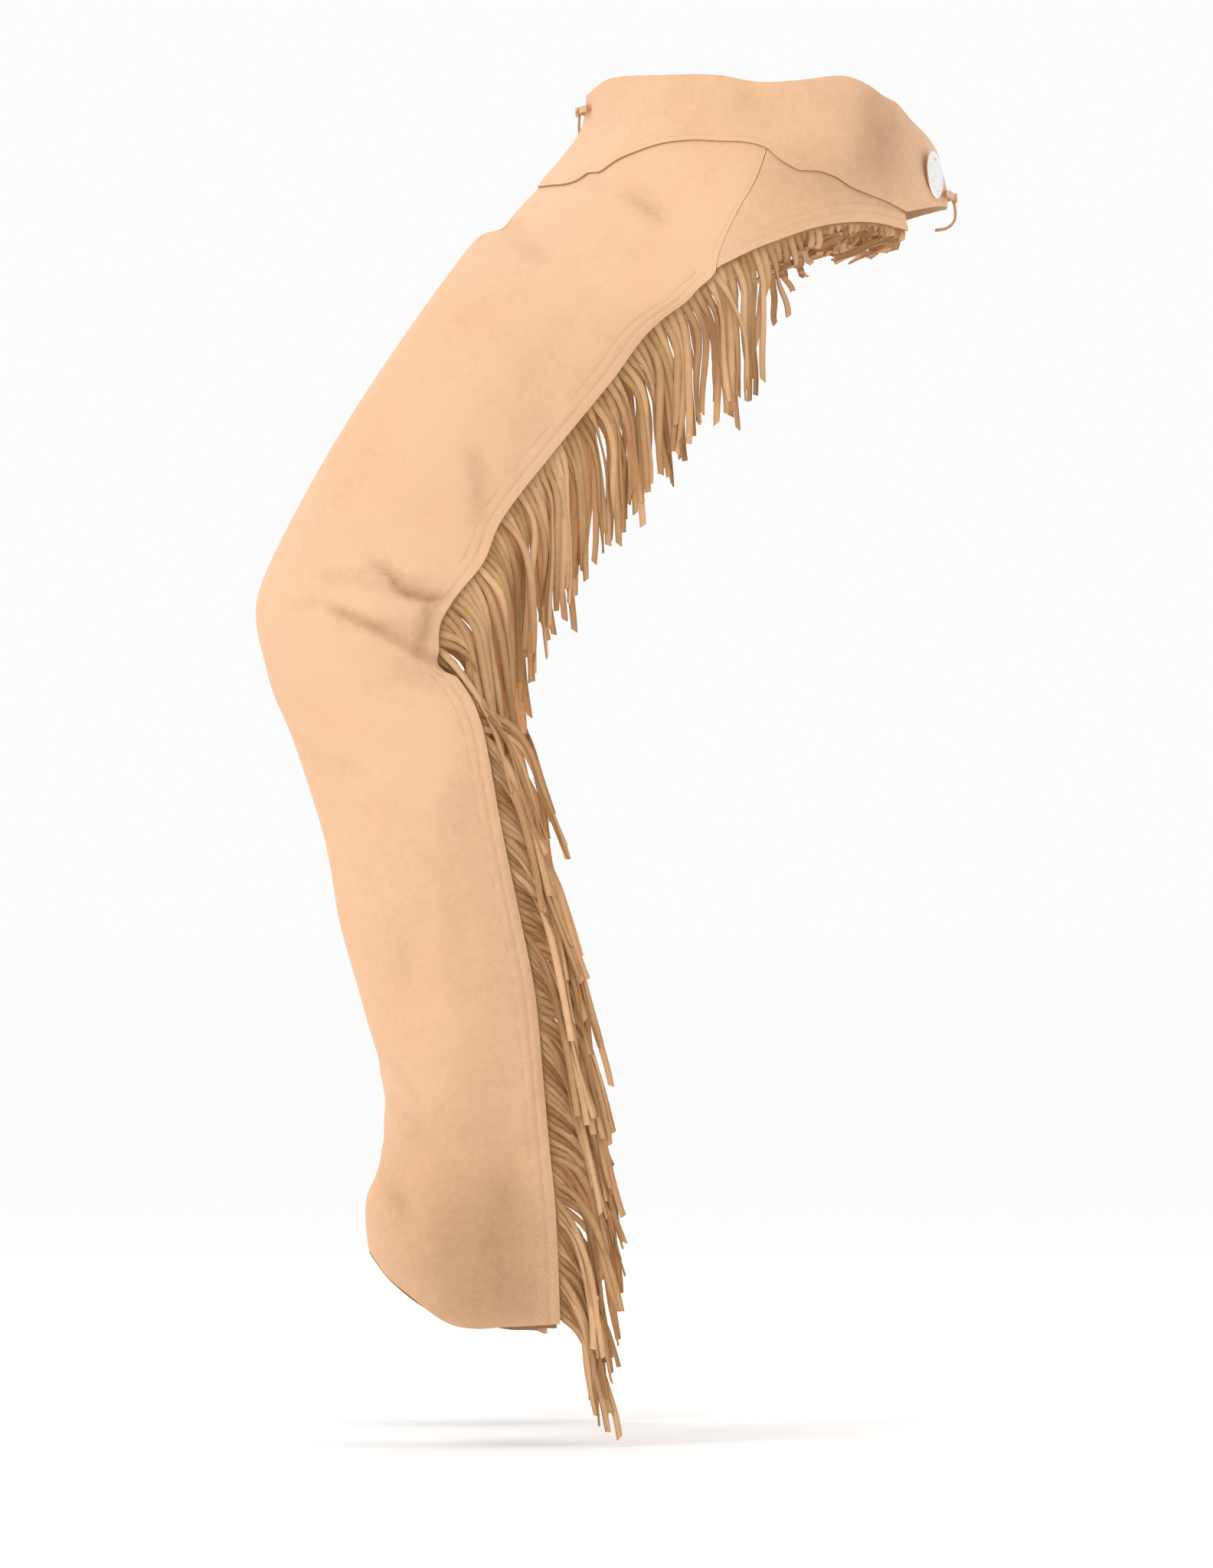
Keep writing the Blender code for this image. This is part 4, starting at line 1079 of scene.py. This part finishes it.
def strandRibbon(root, half, leave, normal, along, run, progress, clump, dice):
    foot = max(0.0, (progress - run["change"]) / (1 - run["change"]))
    hang, seated = hangingWay(run, root, foot, dice)
    length = mixed(run["length"], progress ** run["ease"])
    length *= mm * (1 + dice.uniform(-1, 1) * fringe["uneven"])
    depth = (mixed(run["depth"], clump["depth"]) + dice.uniform(0, strand["layer"])) * mm
    turn = turningLength(run, root, seated) * mm * dice.uniform(*strand["turn"])
    sway = (clump["sway"] + dice.uniform(-strand["sway"], strand["sway"])) * run["sway"] * mm
    phase = dice.uniform(0, math.tau)
    ripple = dice.uniform(*strand["ripple"]) * mm
    twist = dice.uniform(-strand["twist"], strand["twist"]) + clump["twist"]
    drop = run["drop"] + clump["drop"] * strand["dropReach"]
    louvre = run["louvre"] * dice.uniform(*strand["louvre"])
    curl = dice.uniform(-strand["curl"], strand["curl"])
    skew = dice.uniform(-1, 1) * fringe["endSkew"]
    gather = (clump["middle"] - root) * run["gather"] * (1 - seated)
    narrowRoot, narrowTip = strand["narrowing"]
    outWave, sideWave = strand["rippleTurns"]
    outShare = strand["rippleOut"]
    joinRate, standRate, edgeRate = strand["settling"]
    steps = fringe["segments"]
    ribbon = np.zeros((steps + 1, 3, 3))
    ribbon[0] = (root - along * half, root, root + along * half)
    place = root.copy()
    for step in range(1, steps + 1):
        done = step / steps
        turned = drop + (1 - drop) * min(1.0, done * length / turn)
        way = leave.lerp(hang, turned).normalized()
        face = normal.lerp(Vector((1, 0, seatedFringe["face"] * seated)), turned)
        face = (face - way * face.dot(way)).normalized()
        place = place + way * (length / steps)
        across = way.cross(face)
        settle = eased(done * joinRate)
        out = depth * eased(done * standRate) + math.cos(phase + done * outWave) * outShare * ripple * done
        swing = sway * done ** strand["swayPower"] + math.sin(phase + done * sideWave) * ripple * done
        centre = place + face * out + across * (swing + gather.dot(across) * settle)
        angle = twist * settle + curl * done ** 3 + louvre * eased(done * edgeRate)
        up = face * math.cos(angle) - across * math.sin(angle)
        side = across * math.cos(angle) + face * math.sin(angle)
        side *= half * (1 - narrowRoot * min(1.0, done * 5) - narrowTip * done ** 3)
        tip = way * skew if step == steps else way * 0
        ribbon[step] = (centre - side - tip, centre + up * fringe["crown"], centre + side + tip)
    return ribbon


def newClump(run, outer, number, count, dice):
    # a few strands that hang together, and how many they are
    size = dice.randint(*run["clump"])
    middle = min(count - 1, number + size // 2)
    return {"sway": dice.uniform(-1, 1), "depth": dice.random(),
            "twist": dice.uniform(-strand["clumpTwist"], strand["clumpTwist"]),
            "drop": dice.uniform(*strand["clumpDrop"]), "middle": Vector(outer[3 * middle + 1])}, size


def fringePiece(name, edge, inside, run, seed):
    dice = random.Random(seed)
    (inner, outer, normals), count = resampled(stripLines(edge, inside), run["pitch"])
    shell = bmesh.new()
    gridInto(shell, np.stack((inner, outer)), np.full((2, len(outer)), fringe["stripShade"]))
    left = 0
    for number in range(count):
        if left == 0:
            clump, left = newClump(run, outer, number, count, dice)
        left -= 1
        first, middle, last = (Vector(outer[3 * number + part]) for part in range(3))
        along = (last - first).normalized()
        leave = middle - Vector(inner[3 * number + 1])
        leave = (leave - along * leave.dot(along)).normalized()
        normal = Vector(normals[3 * number + 1]).normalized()
        ribbon = strandRibbon(middle, (last - first).length / 2, leave, normal, along, run,
                              number / count, clump, dice)
        # painted light and shade: a clump that stands out is painted lighter, each strand darker at its
        # root under the panel's edge and at its borders than at its crown
        shade = fringe["tone"] + dice.uniform(-1, 1) * fringe["shade"]
        shade -= fringe["standOutLight"] * clump["depth"]
        rootShade, rootReach = fringe["rootShade"]
        fromRoot = np.linalg.norm(ribbon[:, 1] - ribbon[0, 1], axis=1)
        shades = shade + rootShade * np.exp(-fromRoot / rootReach)[:, None]
        gridInto(shell, ribbon, shades + np.array((fringe["borderShade"], 0, fringe["borderShade"])))
    bmesh.ops.remove_doubles(shell, verts=shell.verts, dist=fringe["weld"])
    piece = meshPiece(name, shell, fringeSuede, cutEdge)
    finishWall(piece, fringe["wall"], fringe["sharpAngle"])
    print(name, count, "strands")
    return piece


def fringeEdges():
    # for each run, the cut edge and a line inside it by the strip's width
    widths = (0.0, fringe["stripWidth"])
    hipSamples, legSamples = fringe["samples"]
    columns = np.linspace(*fringe["hipRun"], hipSamples)
    edges = {"hip": []}
    for width in widths:
        places = edgePlaces(hipAngle, columns, lambda angle: edgeHeight("hipLow", angle) + width)
        edges["hip"].append(skinPoint(hipAngle(columns, places), places))
    shinEnd = placeAtHeight(lambda place: ringPoint(insetAngle(place, 0.0), place), fringe["endHeight"])
    for label, ends in (("thigh", fringe["thighRun"]), ("shin", (fringe["shinStart"], shinEnd))):
        places = np.linspace(*ends, legSamples)
        edges[label] = [skinPoint(insetAngle(places, width), places) for width in widths]
    return edges


fringePairs = {}
leftSeed, rightSeed = fringe["seeds"]
for number, (label, edges) in enumerate(fringeEdges().items()):
    # the right strip is cut by itself on the left leg and turned over, so that the two differ
    fringePairs[label] = (
        fringePiece(f"{label}FringeLeft", *edges, fringeRuns[label], leftSeed + number),
        turnedOver(fringePiece(f"{label}FringeRight", *edges, fringeRuns[label], rightSeed + number)),
    )

# concho: a plain domed disc with a fluted ring and a raised rim
concho = {
    "steps": 120,
    "sharpAngle": 35,
    "weld": 0.01 * mm,
    "angle": -67,
    "height": -67 * mm,
    "upright": 0.35,
    "stand": 1.4 * mm,
    "profile": ((0.0, 4.2), (2.0, 4.15), (4.0, 4.0), (5.2, 3.75), (5.6, 3.35), (6.1, 3.3), (8.0, 3.25),
                (10.0, 2.95), (12.0, 2.45), (13.2, 2.0), (13.8, 1.75), (14.2, 1.85), (14.7, 2.45),
                (15.3, 2.7), (16.0, 2.6), (16.6, 2.1), (17.0, 1.4), (16.9, 0.5), (16.2, 0.0), (0.0, 0.0)),
    "flutes": 20,
    "fluteRange": (6.1, 13.2),
    "fluteDepth": 0.28,
    "faceFrom": 1.0,            # mm above the back from which the flutes are cut
    "slots": ((0.0, 10.6), (0.0, -10.6)),
    "slotHalf": (2.8, 0.75),
    "slotDepth": 1.1,
    "slotRim": 0.12,
    "slotFacing": 0.3,
}


def conchoPiece(name):
    disc = bmesh.new()
    outline = [disc.verts.new((radius * mm, 0, height * mm)) for radius, height in concho["profile"]]
    edges = [disc.edges.new(pair) for pair in zip(outline, outline[1:])]
    bmesh.ops.spin(disc, geom=outline + edges, axis=(0, 0, 1), cent=(0, 0, 0), steps=concho["steps"],
                   angle=math.tau, use_merge=True)
    bmesh.ops.remove_doubles(disc, verts=disc.verts, dist=concho["weld"])
    bmesh.ops.recalc_face_normals(disc, faces=disc.faces)
    low, high = concho["fluteRange"]
    for vertex in disc.verts:
        radius = math.hypot(vertex.co.x, vertex.co.y) / mm
        if low < radius < high and vertex.co.z > concho["faceFrom"] * mm:
            share = math.sin(math.pi * (radius - low) / (high - low))
            turn = math.atan2(vertex.co.y, vertex.co.x)
            wave = 0.5 + 0.5 * math.cos(turn * concho["flutes"])
            vertex.co.z -= share * concho["fluteDepth"] * mm * wave
    halfX, halfY = concho["slotHalf"]
    for slotX, slotY in concho["slots"]:
        cutFaces = []
        for face in disc.faces:
            middle = face.calc_center_median()
            if (abs(middle.x / mm - slotX) < halfX and abs(middle.y / mm - slotY) < halfY
                    and face.normal.z > concho["slotFacing"]):
                cutFaces.append(face)
        bmesh.ops.inset_region(disc, faces=cutFaces, thickness=concho["slotRim"] * mm,
                               depth=-concho["slotDepth"] * mm)
    place = placeAtHeight(lambda where: ringPoint(concho["angle"], where), concho["height"])
    facing = Vector(outwardAt(concho["angle"], place))
    facing = Vector((facing.x, facing.y, facing.z * concho["upright"])).normalized()
    spot = Vector(skinPoint(concho["angle"], place, yoke["lift"] + concho["stand"]))
    turn = facing.to_track_quat("Z", "Y").to_matrix().to_4x4()
    bmesh.ops.transform(disc, matrix=Matrix.Translation(spot) @ turn, verts=disc.verts)
    piece = meshPiece(name, disc, silverMetal)
    piece.data.shade_smooth()
    piece.data.set_sharp_from_angle(angle=math.radians(concho["sharpAngle"]))
    return piece


conchoLeft = conchoPiece("conchoLeft")
conchoPair = (conchoLeft, mirroredPiece(conchoLeft, "conchoRight"))
print("conchos made")

# thongs that tie the two yokes together, with their tails and knots
thong = {
    "wall": 1.8 * mm,
    "sharpAngle": 50,
    "width": 5.0 * mm,
    "lift": 2.1 * mm,
    "patch": 5.0 * mm,
    "crown": 0.6 * mm,
    "tailWidth": 4.4 * mm,
    "ties": {
        "back": {"angles": (-73.5, -76, -80, -83, -86), "height": -80 * mm, "outward": 1,
                 "tail": ((3, 0.5, 1), (6, 1, 1.5), (9, 1.5, 1.7), (12, 2, 1.5), (14, 2.4, 0.8),
                          (16, 3, -0.5), (18, 4, -3), (19, 5, -5), (19.6, 6.5, -8.5), (20, 8, -12))},
        "front": {"angles": (74, 77, 80, 83, 86), "height": -18 * mm, "outward": -1,
                  "tail": ((4, 0.5, 0.4), (8, 1, 0.5), (15, 1.3, 0.3), (22, 1.5, 0), (31, 1.8, -0.4),
                           (40, 2, -1), (49, 2, -2.2), (58, 2, -3))},
    },
    "knotHalf": (4.6 * mm, 1.1 * mm, 3.4 * mm),
    "knotTube": 1.0 * mm,
    "knotPoints": 90,
}


def thongPiece(label):
    tie = thong["ties"][label]
    angles = np.array(tie["angles"], float)
    rows = []
    for half in (thong["width"] / 2, 0.0, -thong["width"] / 2):
        height = tie["height"] + half
        places = placeOf(lambda place: ringPoint(angles, place)[..., 2] - height, len(angles))
        arms = skinPoint(angles, places, yoke["lift"] + thong["lift"])
        centreY = arms[-1, 1] + tie["outward"] * thong["crown"]
        middle = np.array([(across, centreY, height) for across in (thong["patch"], 0, -thong["patch"])])
        line = np.concatenate((arms, middle, arms[::-1] * (-1, 1, 1)))
        rows.append(line[::-1] if tie["outward"] < 0 else line)
    shell = bmesh.new()
    gridInto(shell, np.array(rows))
    reach = thong["tailWidth"] / 2 * tie["outward"]
    for side in (1, -1):
        tail = [(0, 0, 0), *tie["tail"]]
        ribbon = np.zeros((len(tail), 2, 3))
        for index, (drop, spread, out) in enumerate(tail):
            x = side * (thong["patch"] / 2 + spread * mm)
            y = centreY + tie["outward"] * out * mm
            z = tie["height"] - thong["width"] / 2 - drop * mm
            ribbon[index] = ((x + reach, y, z), (x - reach, y, z))
        gridInto(shell, ribbon)
    piece = meshPiece(f"{label}Lace", shell, thongSuede, cutEdge)
    finishWall(piece, thong["wall"], thong["sharpAngle"])
    return piece, centreY


def knotPiece(label, centreY):
    tie = thong["ties"][label]
    halfX, halfY, halfZ = thong["knotHalf"]
    depth = centreY + tie["outward"] * (halfY + thong["knotTube"])
    curve = bpy.data.curves.new(f"{label}Knot", "CURVE")
    curve.dimensions = "3D"
    curve.bevel_depth = thong["knotTube"]
    curve.bevel_resolution = 3
    line = curve.splines.new("POLY")
    count = thong["knotPoints"]
    line.points.add(count - 1)
    line.use_cyclic_u = True
    for index in range(count):
        turn = math.tau * index / count
        x = (math.sin(turn) + 2 * math.sin(2 * turn)) / 3 * halfX
        z = (math.cos(turn) - 2 * math.cos(2 * turn)) / 3 * halfZ
        y = -math.sin(3 * turn) * halfY
        line.points[index].co = (x, depth + y, tie["height"] + z, 1)
    holder = bpy.data.objects.new("knotPath", curve)
    chapsPieces.objects.link(holder)
    mesh = evaluatedMesh(holder)
    bpy.data.objects.remove(holder)
    mesh.materials.clear()
    mesh.materials.append(thongSuede)
    mesh.shade_smooth()
    piece = bpy.data.objects.new(f"{label}Knot", mesh)
    chapsPieces.objects.link(piece)
    return piece


laces, knots = {}, {}
for label in thong["ties"]:
    laces[label], centreY = thongPiece(label)
    knots[label] = knotPiece(label, centreY)
print("ties made")

# what each piece stands for
pairs = (
    ("suede", "yoke", yokePair),
    ("suede", "leg_panel", legPair),
    ("suede", "hip_panel", hipPair),
    ("fringe_suede", "fringe_hip", fringePairs["hip"]),
    ("fringe_suede", "fringe_thigh", fringePairs["thigh"]),
    ("fringe_suede", "fringe_shin", fringePairs["shin"]),
    ("concho_metal", "concho", conchoPair),
)
for slotName, node, pair in pairs:
    for piece, side in zip(pair, ("left", "right")):
        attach(piece, "root")
        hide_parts(f"{node}_{side}")
for label in thong["ties"]:
    for piece, node in ((laces[label], f"{label}_lace"), (knots[label], f"{label}_knot")):
        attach(piece, "root")
        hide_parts(node)
for piece in (*legThread, *yokeThread):
    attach(piece, "root")

# floor, just under the lowest strand
visualBox = [list(corner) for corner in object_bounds()]
floorMesh = bmesh.new()
bmesh.ops.create_grid(floorMesh, x_segments=1, y_segments=1, size=studio["floorSize"])
floorHeight = visualBox[0][2] - studio["floorGap"] * mm
bmesh.ops.translate(floorMesh, vec=(0, 0, floorHeight), verts=floorMesh.verts)
floorData = bpy.data.meshes.new("floor")
floorMesh.to_mesh(floorData)
floorMesh.free()
paleFloor = newMaterial("paleFloor", studio["floorFinish"])[0]
floorData.materials.append(paleFloor)
floor = bpy.data.objects.new("floor", floorData)
bpy.context.scene.collection.objects.link(floor)
